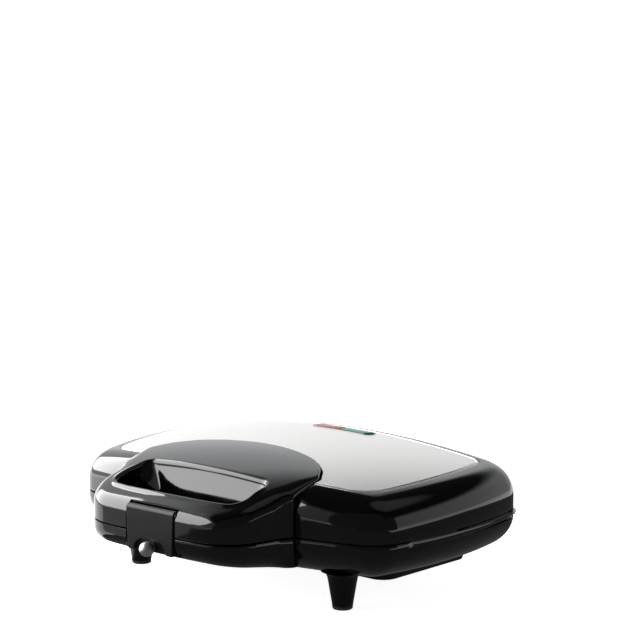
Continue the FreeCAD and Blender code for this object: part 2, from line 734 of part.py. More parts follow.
def lamp(side):
    """Return the small lamp under a lens."""
    start = (side * 6.0, LAMP_Y, 69.5)
    return cylinder(1.6, start, (side * 17.0, LAMP_Y, 69.5))


def lamp_board():
    """Return the board that carries both lamps."""
    return box(-20, 20, LAMP_Y - 6, LAMP_Y + 6, 66.0, 67.6)


def thermostat():
    """Return the thermostat: a ceramic drum with two tabs."""
    z = SEAM_Z + UPPER_REFLECTOR_DROP + REFLECTOR_THICK
    drum = cylinder(8.0, (0, 20, z), (0, 20, z + 6))
    for side in (-1, 1):
        drum = drum.fuse(box(side * 11 - 4, side * 11 + 4, 17.5, 22.5, z + 4.5, z + 5.3))
    return drum


def lid_hinge(side):
    """Return a lid hinge arm: a plate with one knuckle between the base's ears."""
    x = side * HINGE_X
    arm = box(x - 6.7, x + 6.7, REAR_Y, REAR_Y + 1.5, 45, 55)
    arm = arm.fuse(box(x - 6.7, x + 6.7, REAR_Y, HINGE_Y, 45, HINGE_Z + KNUCKLE_RADIUS))
    arm = arm.fuse(cylinder(KNUCKLE_RADIUS, (x - 6.7, HINGE_Y, HINGE_Z),
                            (x + 6.7, HINGE_Y, HINGE_Z)))
    return arm.cut(cylinder(PIN_RADIUS + RUNNING_GAP, (x - 20, HINGE_Y, HINGE_Z),
                            (x + 20, HINGE_Y, HINGE_Z))).removeSplitter()


# --- Latch -------------------------------------------------------------------------
def latch_plate():
    """Return the latch plate with its arch, spring slot, pin bore and hook."""
    back_y = LATCH_FACE_Y + LATCH_THICK
    corners = [(-LATCH_TOP_HALF, LATCH_TOP_Z), (LATCH_TOP_HALF, LATCH_TOP_Z),
               (LATCH_BOTTOM_HALF, LATCH_BOTTOM_Z), (-LATCH_BOTTOM_HALF, LATCH_BOTTOM_Z)]
    points = [V(x, LATCH_FACE_Y, z) for x, z in corners]
    solid = Part.Face(Part.makePolygon(points + points[:1])).extrude(V(0, LATCH_THICK, 0))
    top = edges_where(solid, lambda b: b.ZMin > LATCH_TOP_Z - 0.01 and b.XLength > 10)
    solid = solid.makeFillet(1.4, top)
    arch_flat = ARCH_HALF - ARCH_HEIGHT
    arch = box(-arch_flat, arch_flat, LATCH_FACE_Y - 1, LATCH_FACE_Y + ARCH_DEPTH,
               LATCH_BOTTOM_Z - 1, LATCH_BOTTOM_Z + ARCH_HEIGHT)
    for side in (-1, 1):
        spot = side * arch_flat
        arch = arch.fuse(cylinder(ARCH_HEIGHT, (spot, LATCH_FACE_Y - 1, LATCH_BOTTOM_Z),
                                  (spot, LATCH_FACE_Y + ARCH_DEPTH, LATCH_BOTTOM_Z)))
    solid = solid.cut(arch)
    hook = box(-10.5, 10.5, back_y - 0.6, back_y + HOOK_REACH, LATCH_BOTTOM_Z, CATCH_Z - 0.4)
    solid = solid.fuse(hook)
    slot = box(-4.6, 4.6, LATCH_PIN_Y - 1.35, back_y + 1, LATCH_PIN_Z - 1.6, LATCH_PIN_Z + 1.6)
    bore = cylinder(LATCH_PIN_RADIUS + RUNNING_GAP, (-30, LATCH_PIN_Y, LATCH_PIN_Z),
                    (30, LATCH_PIN_Y, LATCH_PIN_Z))
    stem = cylinder(1.6, (0, LATCH_FACE_Y, KNOB_Z), (0, back_y - 0.2, KNOB_Z))
    return solid.cut(slot).cut(bore).cut(stem).removeSplitter()


def latch_knob():
    """Return the chrome ball with the stem that holds it in the latch plate."""
    ball = Part.makeSphere(KNOB_RADIUS, V(0, KNOB_Y, KNOB_Z), Y_AXIS)
    stem = cylinder(1.6, (0, KNOB_Y, KNOB_Z), (0, LATCH_FACE_Y + LATCH_THICK - 0.2, KNOB_Z))
    web = box(-20, 20, LATCH_FACE_Y + ARCH_DEPTH, 0, 20, 60)
    return ball.cut(web).fuse(stem)


def latch_pin():
    """Return the pin that the latch turns on, pressed into the upper handle."""
    half = RECESS_HALF + 2.2
    return cylinder(LATCH_PIN_RADIUS, (-half, LATCH_PIN_Y, LATCH_PIN_Z),
                    (half, LATCH_PIN_Y, LATCH_PIN_Z))


def latch_spring():
    """Return the coil spring round the latch pin."""
    radius = LATCH_PIN_RADIUS + 0.3
    path = Part.makeHelix(1.1, 7.7, radius)
    section = Part.Wire(Part.makeCircle(0.15, V(radius, 0, 0), Y_AXIS))
    coil = Part.Wire(path.Edges).makePipeShell([section], True, True)
    coil.rotate(V(0, 0, 0), Y_AXIS, 90)
    coil.translate(V(-3.85, LATCH_PIN_Y, LATCH_PIN_Z))
    return coil


# --- Assembly ----------------------------------------------------------------------
SIDES = (("left", -1), ("right", 1))


def build_parts():
    """Return every node of the donut maker by name."""
    lower_outer = lower_form(0, LOWER_TOP_Z)
    tray_floor = box(-200, 200, -200, 200, TRAY_BOTTOM_Z, 100)
    parts = {
        "lower_housing": base_housing(),
        "lower_handle": base_handle(),
        "lower_cooking_plate": plate(-1),
        "lower_heating_element": heater(-1),
        "lower_reflector": reflector(-1, LOWER_REFLECTOR_DROP, 92, -30, 68),
        "bottom_tray": bottom_tray(),
        "latch_catch": catch_block(),
        "cord_bush": cord_bush(),
        "terminal_block": terminal_block(),
        "thermal_fuse": thermal_fuse(),
        "upper_housing": lid_housing(),
        "upper_handle": lid_handle(),
        "stainless_cover": stainless_cover(),
        "upper_cooking_plate": plate(1),
        "upper_heating_element": heater(1),
        "upper_reflector": reflector(1, UPPER_REFLECTOR_DROP, 88, 4, 62),
        "thermostat": thermostat(),
        "indicator_bezel": bezel(),
        "lamp_board": lamp_board(),
        "latch_pin": latch_pin(),
        "latch_spring": latch_spring(),
        "latch_plate": latch_plate(),
        "latch_knob": latch_knob(),
    }
    for name, side in SIDES:
        parts[f"lower_plate_screw_{name}"] = plate_screw(-1, side)
        parts[f"upper_plate_screw_{name}"] = plate_screw(1, side)
        parts[f"lower_handle_screw_{name}"] = screw(handle_screw_spot(side, 36.0), (0, -1, 0), 9)
        parts[f"upper_handle_screw_{name}"] = screw(handle_screw_spot(side, 50.0), (0, -1, 0), 9)
        parts[f"front_foot_{name}"] = foot((side * FRONT_FOOT[0], FRONT_FOOT[1]), 26.0,
                                           FOOT_TOP_RADIUS, lower_outer)
        parts[f"front_pad_{name}"] = foot_pad((side * FRONT_FOOT[0], FRONT_FOOT[1]))
        parts[f"rear_foot_{name}"] = foot((side * REAR_FOOT[0], REAR_FOOT[1]), 14.5,
                                          FOOT_BASE_RADIUS + 2, tray_floor)
        parts[f"rear_pad_{name}"] = foot_pad((side * REAR_FOOT[0], REAR_FOOT[1]))
        parts[f"base_hinge_{name}"] = base_hinge(side)
        parts[f"hinge_pin_{name}"] = hinge_pin(side)
        parts[f"lid_hinge_{name}"] = lid_hinge(side)
        parts[f"lamp_{name}"] = lamp(side)
    parts["red_lens"] = lens(-1)
    parts["green_lens"] = lens(1)
    return parts


def main():
    """Build every part and write each one to its own STEP file."""
    os.makedirs("parts", exist_ok=True)
    for name, shape in build_parts().items():
        solids = len(shape.Solids)
        print(f"{name}: solids {solids}, valid {shape.isValid()}, {shape.Volume / 1000:.2f} cm3")
        shape.exportStep(f"parts/{name}.step")


if __name__ == "__main__":
    main()
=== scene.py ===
"""Looks of a two-plate donut maker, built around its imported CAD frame.

Lengths in the classes are in millimetres and become metres where a mesh is made.
X points to the object's right, Y to its rear and Z up, as in the frame.
"""
import logging
import math
from dataclasses import dataclass, field
from enum import Enum

import bmesh
import bpy
import numpy as np
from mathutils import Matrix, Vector


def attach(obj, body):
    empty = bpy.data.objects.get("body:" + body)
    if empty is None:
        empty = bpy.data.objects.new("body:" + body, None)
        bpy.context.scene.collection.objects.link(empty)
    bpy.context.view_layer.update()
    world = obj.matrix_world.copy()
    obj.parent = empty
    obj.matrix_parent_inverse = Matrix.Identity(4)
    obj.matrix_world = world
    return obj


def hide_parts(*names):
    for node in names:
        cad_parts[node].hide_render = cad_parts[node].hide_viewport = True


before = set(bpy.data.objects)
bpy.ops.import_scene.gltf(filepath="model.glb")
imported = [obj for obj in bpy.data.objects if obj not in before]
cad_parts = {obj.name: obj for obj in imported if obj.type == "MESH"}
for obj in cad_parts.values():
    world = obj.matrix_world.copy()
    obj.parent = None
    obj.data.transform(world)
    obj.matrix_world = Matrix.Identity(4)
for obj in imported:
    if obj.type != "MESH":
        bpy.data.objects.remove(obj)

LOG = logging.getLogger("donut_maker")
MM = 0.001
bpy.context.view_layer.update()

Object = bpy.types.Object
Socket = bpy.types.NodeSocket
Plan = np.ndarray            # rows of x, y
Ring = np.ndarray            # rows of x, y, z
Numbers = float | np.ndarray
Pair = tuple[float, float]
Triple = tuple[float, float, float]


class Body(Enum):
    """The moving bodies of the frame."""

    BASE = "base"
    LID = "lid"
    LATCH = "latch"


# --- Mesh helpers --------------------------------------------------------------------
def make_object(name: str, points: np.ndarray, faces: list, sharp_angle: float = 35.0) -> Object:
    """Make a mesh object from points in millimetres.

    Args:
        name: The object's name.
        points: Rows of x, y, z.
        faces: Tuples of point indices.
        sharp_angle: Edges that bend more than this many degrees stay sharp.

    Returns:
        The new object, linked to the scene.
    """
    mesh = bpy.data.meshes.new(name)
    mesh.from_pydata([tuple(p) for p in np.asarray(points) * MM], [], faces)
    mesh.validate()
    obj = bpy.data.objects.new(name, mesh)
    bpy.context.scene.collection.objects.link(obj)
    tidy_normals(obj, sharp_angle)
    return obj


def tidy_normals(obj: Object, sharp_angle: float) -> None:
    """Turn all faces outwards and shade smooth up to an angle.

    Args:
        obj: The mesh object.
        sharp_angle: Edges that bend more than this many degrees stay sharp.
    """
    work = bmesh.new()
    work.from_mesh(obj.data)
    bmesh.ops.recalc_face_normals(work, faces=work.faces)
    work.to_mesh(obj.data)
    work.free()
    obj.data.shade_smooth()
    obj.data.set_sharp_from_angle(angle=math.radians(sharp_angle))


def at(plan: Plan, z: Numbers) -> Ring:
    """Stand plan points at a height, one for all or one for each."""
    return np.column_stack([plan, np.broadcast_to(z, (len(plan),))])


def lofted(name: str, rings: list[Ring], tube: bool, sharp_angle: float = 35.0) -> Object:
    """Join rings of equal length with quads.

    Args:
        name: The object's name.
        rings: The rings, in order.
        tube: True joins the last ring to the first, False closes both ends with a fan.
        sharp_angle: Edges that bend more than this many degrees stay sharp.

    Returns:
        The object.
    """
    count = len(rings[0])
    steps = [(i, (i + 1) % count) for i in range(count)]
    points, faces = list(rings), []
    for low in range(len(rings) if tube else len(rings) - 1):
        first, last = low * count, (low + 1) % len(rings) * count
        faces += [(first + i, first + j, last + j, last + i) for i, j in steps]
    for end in () if tube else (0, len(rings) - 1):
        hub = sum(len(block) for block in points)
        points.append(rings[end].mean(axis=0)[None, :])
        faces += [(hub, end * count + i, end * count + j) for i, j in steps]
    return make_object(name, np.vstack(points), faces, sharp_angle)


def turned(name: str, profile: list[Pair], centre: Triple, axes: str = "xyz", segments: int = 64,
           sharp_angle: float = 40.0) -> Object:
    """Turn a profile about an axis.

    Args:
        name: The object's name.
        profile: Points of (radius, distance along the axis).
        centre: A point on the axis, from which the distances count.
        axes: Two letters for the plane of the turn and one for the axis.
        segments: Steps round the axis.
        sharp_angle: Edges that bend more than this many degrees stay sharp.

    Returns:
        The turned object.
    """
    across, up, along = ("xyz".index(letter) for letter in axes)
    angles = np.linspace(0, 2 * math.pi, segments, endpoint=False)
    rings = []
    for radius, distance in profile:
        ring = np.tile(np.array(centre, dtype=float), (segments, 1))
        ring[:, across] += radius * np.cos(angles)
        ring[:, up] += radius * np.sin(angles)
        ring[:, along] += distance
        rings.append(ring)
    return lofted(name, rings, False, sharp_angle)


def prism(name: str, ends: list[Ring]) -> Object:
    """Join two flat loops of points, and close each with one face.

    Args:
        name: The object's name.
        ends: The two loops, of equal length.

    Returns:
        The object.
    """
    count = len(ends[0])
    faces = [tuple(range(count)), tuple(range(2 * count - 1, count - 1, -1))]
    faces += [(i, (i + 1) % count, count + (i + 1) % count, count + i) for i in range(count)]
    return make_object(name, np.vstack(ends), faces)


def slab(name: str, outline: Plan, z0: float, z1: float, bevel: float = 0.0, steps: int = 3) -> Object:
    """Raise a flat outline to a slab.

    Args:
        name: The object's name.
        outline: The outline.
        z0: Height of the underside.
        z1: Height of the top.
        bevel: Width of the rounded edges, or 0 for sharp ones.
        steps: Steps across each rounded edge.

    Returns:
        The slab.
    """
    obj = prism(name, [at(outline, z0), at(outline, z1)])
    if bevel > 0:
        round_edges(obj, bevel, steps)
    return obj


def round_edges(obj: Object, width: float, steps: int) -> None:
    """Round an object's edges and keep its flat faces flat.

    Args:
        obj: The object.
        width: Width of the rounding.
        steps: Steps across the rounding.
    """
    bevel = obj.modifiers.new("rounding", "BEVEL")
    bevel.width = width * MM
    bevel.segments = steps
    bevel.limit_method = "ANGLE"
    bevel.angle_limit = math.radians(40.0)
    bevel.harden_normals = True


def carve(obj: Object, cutter: Object, sharp_angle: float = 35.0) -> None:
    """Cut one object out of another, and remove the cutter.

    Args:
        obj: The object that is cut.
        cutter: The object that is cut away.
        sharp_angle: Edges that bend more than this many degrees stay sharp.
    """
    cut = obj.modifiers.new("cut", "BOOLEAN")
    cut.operation = "DIFFERENCE"
    cut.solver = "EXACT"
    cut.object = cutter
    graph = bpy.context.evaluated_depsgraph_get()
    graph.update()
    result = bpy.data.meshes.new_from_object(obj.evaluated_get(graph))
    obj.modifiers.clear()
    obj.data = result
    bpy.data.objects.remove(cutter)
    tidy_normals(obj, sharp_angle)


# --- Curves --------------------------------------------------------------------------
def blend(first: Numbers, last: Numbers, t: float) -> Numbers:
    """Return the value between first and last, t of the way."""
    return first * (1 - t) + last * t


def rounding(radius: Numbers, nearness: np.ndarray) -> np.ndarray:
    """Return how far a rounded edge drops; nearness is 1 at the edge and 0 where it ends."""
    return radius * (1 - np.sqrt(np.clip(1 - nearness**2, 0, 1)))


def near(distance: np.ndarray, reach: Numbers) -> np.ndarray:
    """Return 1 at no distance, falling to 0 at the reach."""
    return np.clip(1 - distance / reach, 0, 1)


def arc_points(centre: np.ndarray, radius: float, start: float, end: float, steps: int
               ) -> tuple[Plan, Plan]:
    """Sample an arc.

    Args:
        centre: The arc's centre.
        radius: Its radius.
        start: Its first angle in radians.
        end: Its last angle.
        steps: How many steps it is cut into.

    Returns:
        The points without the last one, and their outward normals.
    """
    angles = np.linspace(start, end, steps, endpoint=False)
    normals = np.column_stack([np.cos(angles), np.sin(angles)])
    return centre + radius * normals, normals


def mirrored_loop(half: Plan) -> Plan:
    """Close a half outline, from the front's middle to the rear's, with its mirror image."""
    return np.vstack([half, half[-2:0:-1] * np.array([-1.0, 1.0])])


@dataclass(frozen=True)
class BodyOutline:
    """A plan outline: a front arc, two bulging sides, a flat rear and four corners."""

    front_y: float = -59.7
    front_radius: float = 343.0
    side_x: float = 125.8
    side_y: float = 24.5
    side_radius: float = 222.0
    rear_y: float = 95.5
    front_corner: float = 23.0
    rear_corner: float = 28.0
    steps: tuple[int, int, int, int, int] = (44, 16, 40, 20, 24)

    def sample(self) -> tuple[Plan, Plan]:
        """Sample the outline counter-clockwise from the middle of its front.

        Returns:
            The points and their outward normals.
        """
        front = np.array([0.0, self.front_y + self.front_radius])
        side = np.array([self.side_x - self.side_radius, self.side_y])
        corner = self._tangent_centre(front, side)
        far_y = self.rear_y - self.rear_corner
        reach = self.side_radius - self.rear_corner
        far = np.array([side[0] + math.sqrt(reach**2 - (far_y - side[1])**2), far_y])
        turns = [-math.pi / 2, math.atan2(*(corner - front)[::-1]), math.atan2(*(corner - side)[::-1]),
                 math.atan2(*(far - side)[::-1]), math.pi / 2]
        radii = (self.front_radius, self.front_corner, self.side_radius, self.rear_corner)
        pieces = [arc_points(centre, radii[k], turns[k], turns[k + 1], self.steps[k])
                  for k, centre in enumerate((front, corner, side, far))]
        xs = np.linspace(far[0], 0.0, self.steps[4] + 1)
        rear = np.column_stack([xs, np.full(len(xs), self.rear_y)])
        pieces.append((rear, np.tile([0.0, 1.0], (len(xs), 1))))
        points, normals = (mirrored_loop(np.vstack(rows)) for rows in zip(*pieces))
        return points, normals

    def _tangent_centre(self, front: np.ndarray, side: np.ndarray) -> np.ndarray:
        """Find the centre of the front corner's arc, tangent to front and side.

        Args:
            front: Centre of the front arc.
            side: Centre of the side arc.

        Returns:
            The corner's centre.
        """
        between = side - front
        gap = float(np.hypot(*between))
        reach_0 = self.front_radius - self.front_corner
        reach_1 = self.side_radius - self.front_corner
        along = (gap**2 + reach_0**2 - reach_1**2) / (2 * gap)
        across = math.sqrt(reach_0**2 - along**2)
        unit = between / gap
        foot = front + unit * along
        options = [foot + sign * across * np.array([-unit[1], unit[0]]) for sign in (-1, 1)]
        return max(options, key=lambda point: point[0])

    def inset(self, front: float, side: float, corners: Pair) -> "BodyOutline":
        """Return a smaller outline with its own corner radii."""
        return BodyOutline(self.front_y + front, self.front_radius - front, self.side_x - side, self.side_y,
                           self.side_radius - side, self.rear_y - side, *corners, self.steps)


def fillet_path(corners: list[Triple], steps: int = 10) -> Plan:
    """Round the corners of an open path.

    Args:
        corners: Points as (x, y, radius); radius 0 keeps a point as it is.
        steps: Steps in each rounded corner.

    Returns:
        The rounded path.
    """
    path = [np.array(corners[0][:2])]
    for before, corner, after in zip(corners, corners[1:], corners[2:]):
        here = np.array(corner[:2])
        if corner[2] <= 0:
            path.append(here)
            continue
        back = np.array(before[:2]) - here
        ahead = np.array(after[:2]) - here
        back /= np.hypot(*back)
        ahead /= np.hypot(*ahead)
        half = math.acos(float(np.clip(back @ ahead, -1, 1))) / 2
        setback = corner[2] / math.tan(half)
        middle = (back + ahead) / np.hypot(*(back + ahead))
        centre = here + middle * corner[2] / math.sin(half)
        first = (here + back * setback - centre) / corner[2]
        last = (here + ahead * setback - centre) / corner[2]
        path += [centre + slerp(first, last, t) * corner[2] for t in np.linspace(0, 1, steps + 1)]
    path.append(np.array(corners[-1][:2]))
    return np.array(path)


def slerp(first: np.ndarray, last: np.ndarray, t: float) -> np.ndarray:
    """Turn evenly from one unit direction to another.

    Args:
        first: Unit vector, or rows of them.
        last: Unit vector, or rows of them.
        t: 0 at the first, 1 at the last.

    Returns:
        The direction in between.
    """
    dot = np.clip(np.sum(first * last, axis=-1, keepdims=True), -1, 1)
    angle = np.arccos(dot)
    parallel = np.sin(angle) < 1e-9
    mixed = np.sin((1 - t) * angle) * first + np.sin(t * angle) * last
    return np.where(parallel, first, mixed / np.where(parallel, 1.0, np.sin(angle)))


def resample(path: Plan, count: int) -> Plan:
    """Space points evenly along an open path, keeping both ends.

    Args:
        path: The path.
        count: How many points to return.

    Returns:
        The evenly spaced points.
    """
    travelled = np.concatenate([[0], np.cumsum(np.hypot(*np.diff(path, axis=0).T))])
    wanted = np.linspace(0, travelled[-1], count)
    return np.column_stack([np.interp(wanted, travelled, path[:, k]) for k in (0, 1)])


def distance_to(loop: Plan, points: Plan) -> np.ndarray:
    """Measure how far points are from a closed loop of straight edges.

    Args:
        loop: The loop.
        points: The points.

    Returns:
        One distance for each point.
    """
    runs = np.roll(loop, -1, axis=0) - loop
    lengths = np.maximum(np.sum(runs**2, axis=1), 1e-12)
    result = np.empty(len(points))
    for k, point in enumerate(points):
        offset = point - loop
        t = np.clip(np.sum(offset * runs, axis=1) / lengths, 0, 1)
        result[k] = math.sqrt(float(np.min(np.sum((offset - runs * t[:, None])**2, axis=1))))
    return result


def stadium(half: float, radius: float, y: float, steps: int = 20) -> Plan:
    """Draw a rounded bar, long in x.

    Args:
        half: Half of its length.
        radius: Its end radius and half-width.
        y: The y of its middle line.
        steps: Steps round each end.

    Returns:
        A closed loop of points.
    """
    angles = np.linspace(-math.pi / 2, math.pi / 2, steps + 1)
    right = np.column_stack([half - radius + radius * np.cos(angles), y + radius * np.sin(angles)])
    return np.vstack([right, right[::-1] * np.array([-1.0, 1.0])])


# --- Shared forms --------------------------------------------------------------------
@dataclass(frozen=True)
class Dome:
    """The large sphere that the lid's top follows."""

    y: float = 41.5
    top_z: float = 78.6
    radius: float = 690.0

    @property
    def centre(self) -> np.ndarray:
        """The sphere's centre."""
        return np.array([0.0, self.y, self.top_z - self.radius])

    def height(self, plan: Plan, lift: float = 0.0) -> np.ndarray:
        """Return the dome's height over plan points, raised along its normal by lift."""
        flat = plan[:, 0]**2 + (plan[:, 1] - self.y)**2
        return self.centre[2] + np.sqrt((self.radius + lift)**2 - flat)

    def ring(self, plan: Plan, lift: float = 0.0) -> Ring:
        """Stand plan points on the dome, raised along its normal by lift."""
        return at(plan, self.height(plan, lift))


@dataclass(frozen=True)
class Crown:
    """The handle pod's top: an arc from front to rear, crowned across."""

    top_z: float = 79.5
    top_y: float = -0.5
    profile_radius: float = 225.0
    crown_radius: float = 600.0

    def height(self, plan: Plan) -> np.ndarray:
        """Find the crown's height over plan points.

        Args:
            plan: The points.

        Returns:
            One height per point.
        """
        along = self.profile_radius - np.sqrt(self.profile_radius**2 - (plan[:, 1] - self.top_y)**2)
        across = self.crown_radius - np.sqrt(self.crown_radius**2 - plan[:, 0]**2)
        return self.top_z - along - across


OUTLINE = BodyOutline()
DOME = Dome()
CROWN = Crown()
NOTCH_X = 67.9          # half-width of the gap in the housings that takes the handle
NOTCH_Y = -49.0         # rear wall of that gap
SEAM_LOW = 42.5         # top of the base
SEAM_HIGH = 43.3        # underside of the lid


# --- Finishes ------------------------------------------------------------------------
def add_node(tree: bpy.types.NodeTree, kind: str, output: str, inputs: dict[str | int, object],
             **settings: str) -> Socket:
    """Add a shader node and feed it.

    Args:
        tree: The node tree.
        kind: The node's type, without its ShaderNode prefix.
        output: The output that is wanted.
        inputs: Values or sockets, by the input's name or place.
        settings: The node's other properties.

    Returns:
        The wanted output.
    """
    node = tree.nodes.new(f"ShaderNode{kind}")
    for name, value in settings.items():
        setattr(node, name, value)
    for key, value in inputs.items():
        if isinstance(value, Socket):
            tree.links.new(value, node.inputs[key])
        else:
            node.inputs[key].default_value = value
    return node.outputs[output]


def map_range(tree: bpy.types.NodeTree, value: Socket, ends: Pair, levels: Pair, kind: str) -> Socket:
    """Map a value from one range to another.

    Args:
        tree: The node tree.
        value: The value.
        ends: The range that it comes from.
        levels: The range that it goes to.
        kind: The kind of interpolation.

    Returns:
        The mapped value.
    """
    names = ("From Min", "From Max", "To Min", "To Max")
    return add_node(tree, "MapRange", "Result", {"Value": value, **dict(zip(names, ends + levels))},
                    interpolation_type=kind)


class NodeBook:
    """A material's node tree, with short calls to add and link nodes."""

    def __init__(self, name: str) -> None:
        """Start a material with one Principled shader.

        Args:
            name: The material's name.
        """
        self.material = bpy.data.materials.new(name)
        self.material.use_nodes = True
        self.tree = self.material.node_tree
        self.shader = self.tree.nodes["Principled BSDF"]
        self.coords = add_node(self.tree, "TexCoord", "Object", {})

    def set(self, **values: object) -> None:
        """Set sockets of the shader; underscores in names stand for spaces."""
        for name, value in values.items():
            self.shader.inputs[name.replace("_", " ")].default_value = value

    def link(self, output: Socket, socket: str) -> None:
        """Link an output to one of the shader's sockets."""
        self.tree.links.new(output, self.shader.inputs[socket])

    def noise(self, scale: float, detail: float = 3.0, stretch: Triple | None = None) -> Socket:
        """Return a noise value.

        Args:
            scale: Repeats per metre.
            detail: Octaves of finer noise.
            stretch: Scale of the coordinates along each axis, or none.

        Returns:
            The noise's output socket.
        """
        vector = self.coords
        if stretch:
            vector = add_node(self.tree, "Mapping", "Vector", {"Vector": vector, "Scale": stretch})
        return add_node(self.tree, "TexNoise", "Fac", {"Vector": vector, "Scale": scale, "Detail": detail})

    def span(self, value: Socket, low: float, high: float) -> Socket:
        """Map a noise value to low..high."""
        return map_range(self.tree, value, (0.3, 0.7), (low, high), "LINEAR")

    def tint(self, value: Socket, first: Triple, last: Triple, ends: Pair = (0.3, 0.7)) -> Socket:
        """Run from one colour to another with a value.

        Args:
            value: The value.
            first: The colour up to the first end.
            last: The colour from the last end.
            ends: The values between which the colour runs.

        Returns:
            The colour's output socket.
        """
        node = self.tree.nodes.new("ShaderNodeValToRGB")
        for element, place, colour in zip(node.color_ramp.elements, ends, (first, last)):
            element.position = place
            element.color = (*colour, 1)
        self.tree.links.new(value, node.inputs["Fac"])
        return node.outputs["Color"]

    def bump(self, height: Socket, distance: float, strength: float = 1.0) -> None:
        """Let a height bump the surface.

        Args:
            height: The height, 0 to 1.
            distance: What 1 stands for, in millimetres.
            strength: How much of it shows.
        """
        self.link(add_node(self.tree, "Bump", "Normal", {
            "Height": height, "Distance": distance * MM, "Strength": strength}), "Normal")


@dataclass(frozen=True)
class Moulded:
    """Moulded plastic, from polished to textured."""

    name: str
    dark: Triple
    light: Triple
    rough: Pair
    grain: float
    relief: float
    ior: float = 1.5

    def build(self) -> bpy.types.Material:
        """Make the material.

        Returns:
            The material.
        """
        book = NodeBook(self.name)
        book.set(IOR=self.ior)
        book.link(book.tint(book.noise(30.0, 4.0), self.dark, self.light), "Base Color")
        book.link(book.span(book.noise(90.0, 5.0), *self.rough), "Roughness")
        book.bump(book.noise(self.grain, 2.0), self.relief)
        return book.material


@dataclass(frozen=True)
class Metal:
    """Bare or coated metal, brushed along one axis or cast."""

    name: str
    dark: Triple
    light: Triple
    rough: Pair
    stretch: Triple
    grain: float
    relief: float
    metallic: float = 1.0

    def build(self) -> bpy.types.Material:
        """Make the material.

        Returns:
            The material.
        """
        book = NodeBook(self.name)
        book.set(Metallic=self.metallic)
        grain = book.noise(self.grain, 4.0, self.stretch)
        book.link(book.tint(grain, self.dark, self.light), "Base Color")
        book.link(book.span(grain, *self.rough), "Roughness")
        book.bump(grain, self.relief)
        return book.material


@dataclass(frozen=True)
class Lens:
    """Tinted clear plastic with a fine prism pattern below its face."""

    name: str
    deep: Triple
    bright: Triple

    def build(self) -> bpy.types.Material:
        """Make the material.

        Returns:
            The material.
        """
        book = NodeBook(self.name)
        book.set(Roughness=0.38, IOR=1.42, Specular_IOR_Level=0.25)
        ribs = add_node(book.tree, "TexWave", "Fac", {"Vector": book.coords, "Scale": 320.0})
        book.link(book.tint(ribs, self.deep, self.bright, (0.2, 0.8)), "Base Color")
        book.bump(ribs, 0.01, 0.3)
        return book.material


EVEN = (1.0, 1.0, 1.0)


class Finish(Enum):
    """Every finish on the appliance."""

    PIANO_BLACK = Moulded("piano_black", (0.0010, 0.0010, 0.0012), (0.0018, 0.0018, 0.0021),
                          (0.045, 0.075), 90.0, 0.0006)
    LATCH_BLACK = Moulded("latch_black", (0.0034, 0.0030, 0.0038), (0.0050, 0.0044, 0.0056),
                          (0.30, 0.36), 900.0, 0.002, 1.32)
    FOOT_BLACK = Moulded("foot_black", (0.0006, 0.0006, 0.0006), (0.0014, 0.0014, 0.0014),
                         (0.24, 0.36), 2200.0, 0.010, 1.36)
    PAD_RUBBER = Moulded("pad_rubber", (0.008, 0.008, 0.008), (0.018, 0.018, 0.018),
                         (0.6, 0.75), 1500.0, 0.02)
    BRUSHED = Metal("brushed_cover", (0.77, 0.755, 0.73), (0.89, 0.875, 0.855), (0.27, 0.37),
                    (0.014, 1.0, 1.0), 1900.0, 0.0016)
    CHROME = Metal("satin_chrome", (0.52, 0.52, 0.54), (0.60, 0.60, 0.62), (0.30, 0.36), EVEN, 120.0, 0.0005)
    NON_STICK = Metal("non_stick_coating", (0.018, 0.018, 0.019), (0.04, 0.04, 0.042), (0.32, 0.48),
                      EVEN, 2600.0, 0.012, 0.35)
    ZINC = Metal("zinc_plated_steel", (0.26, 0.26, 0.265), (0.42, 0.42, 0.43), (0.34, 0.5),
                 (1.0, 1.0, 0.2), 700.0, 0.003)
    SHEATH = Metal("heater_sheath", (0.16, 0.14, 0.12), (0.34, 0.31, 0.28), (0.35, 0.6), EVEN, 500.0, 0.01)
    REFLECTOR = Metal("reflector_sheet", (0.60, 0.60, 0.60), (0.74, 0.74, 0.73), (0.18, 0.3),
                      (0.05, 1.0, 1.0), 900.0, 0.003)
    CERAMIC = Moulded("unglazed_ceramic", (0.62, 0.59, 0.53), (0.76, 0.73, 0.67), (0.5, 0.7), 1200.0, 0.02)
    BOARD = Moulded("lamp_board_laminate", (0.20, 0.13, 0.05), (0.30, 0.20, 0.09), (0.4, 0.55), 800.0, 0.01)
    RED_LENS = Lens("red_lens", (0.26, 0.05, 0.04), (0.42, 0.095, 0.08))
    GREEN_LENS = Lens("green_lens", (0.005, 0.30, 0.17), (0.02, 0.50, 0.30))

    def material(self) -> bpy.types.Material:
        """Return the finish's material, made on first use."""
        return bpy.data.materials.get(self.value.name) or self.value.build()


def dress(obj: Object, finish: Finish, body: Body, slot: str, *replaced: str) -> None:
    """Give a piece its finish and body, and hide the CAD nodes that it stands for.

    Args:
        obj: The piece.
        finish: Its finish.
        body: The body that it rides on.
        slot: The record's material slot; not used.
        replaced: CAD nodes that it stands for.
    """
    obj.data.materials.clear()
    obj.data.materials.append(finish.material())
    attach(obj, body.value)
    if replaced:
        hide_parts(*replaced)
    LOG.info("%s rides on %s in %s", obj.name, body.value, finish.value.name)



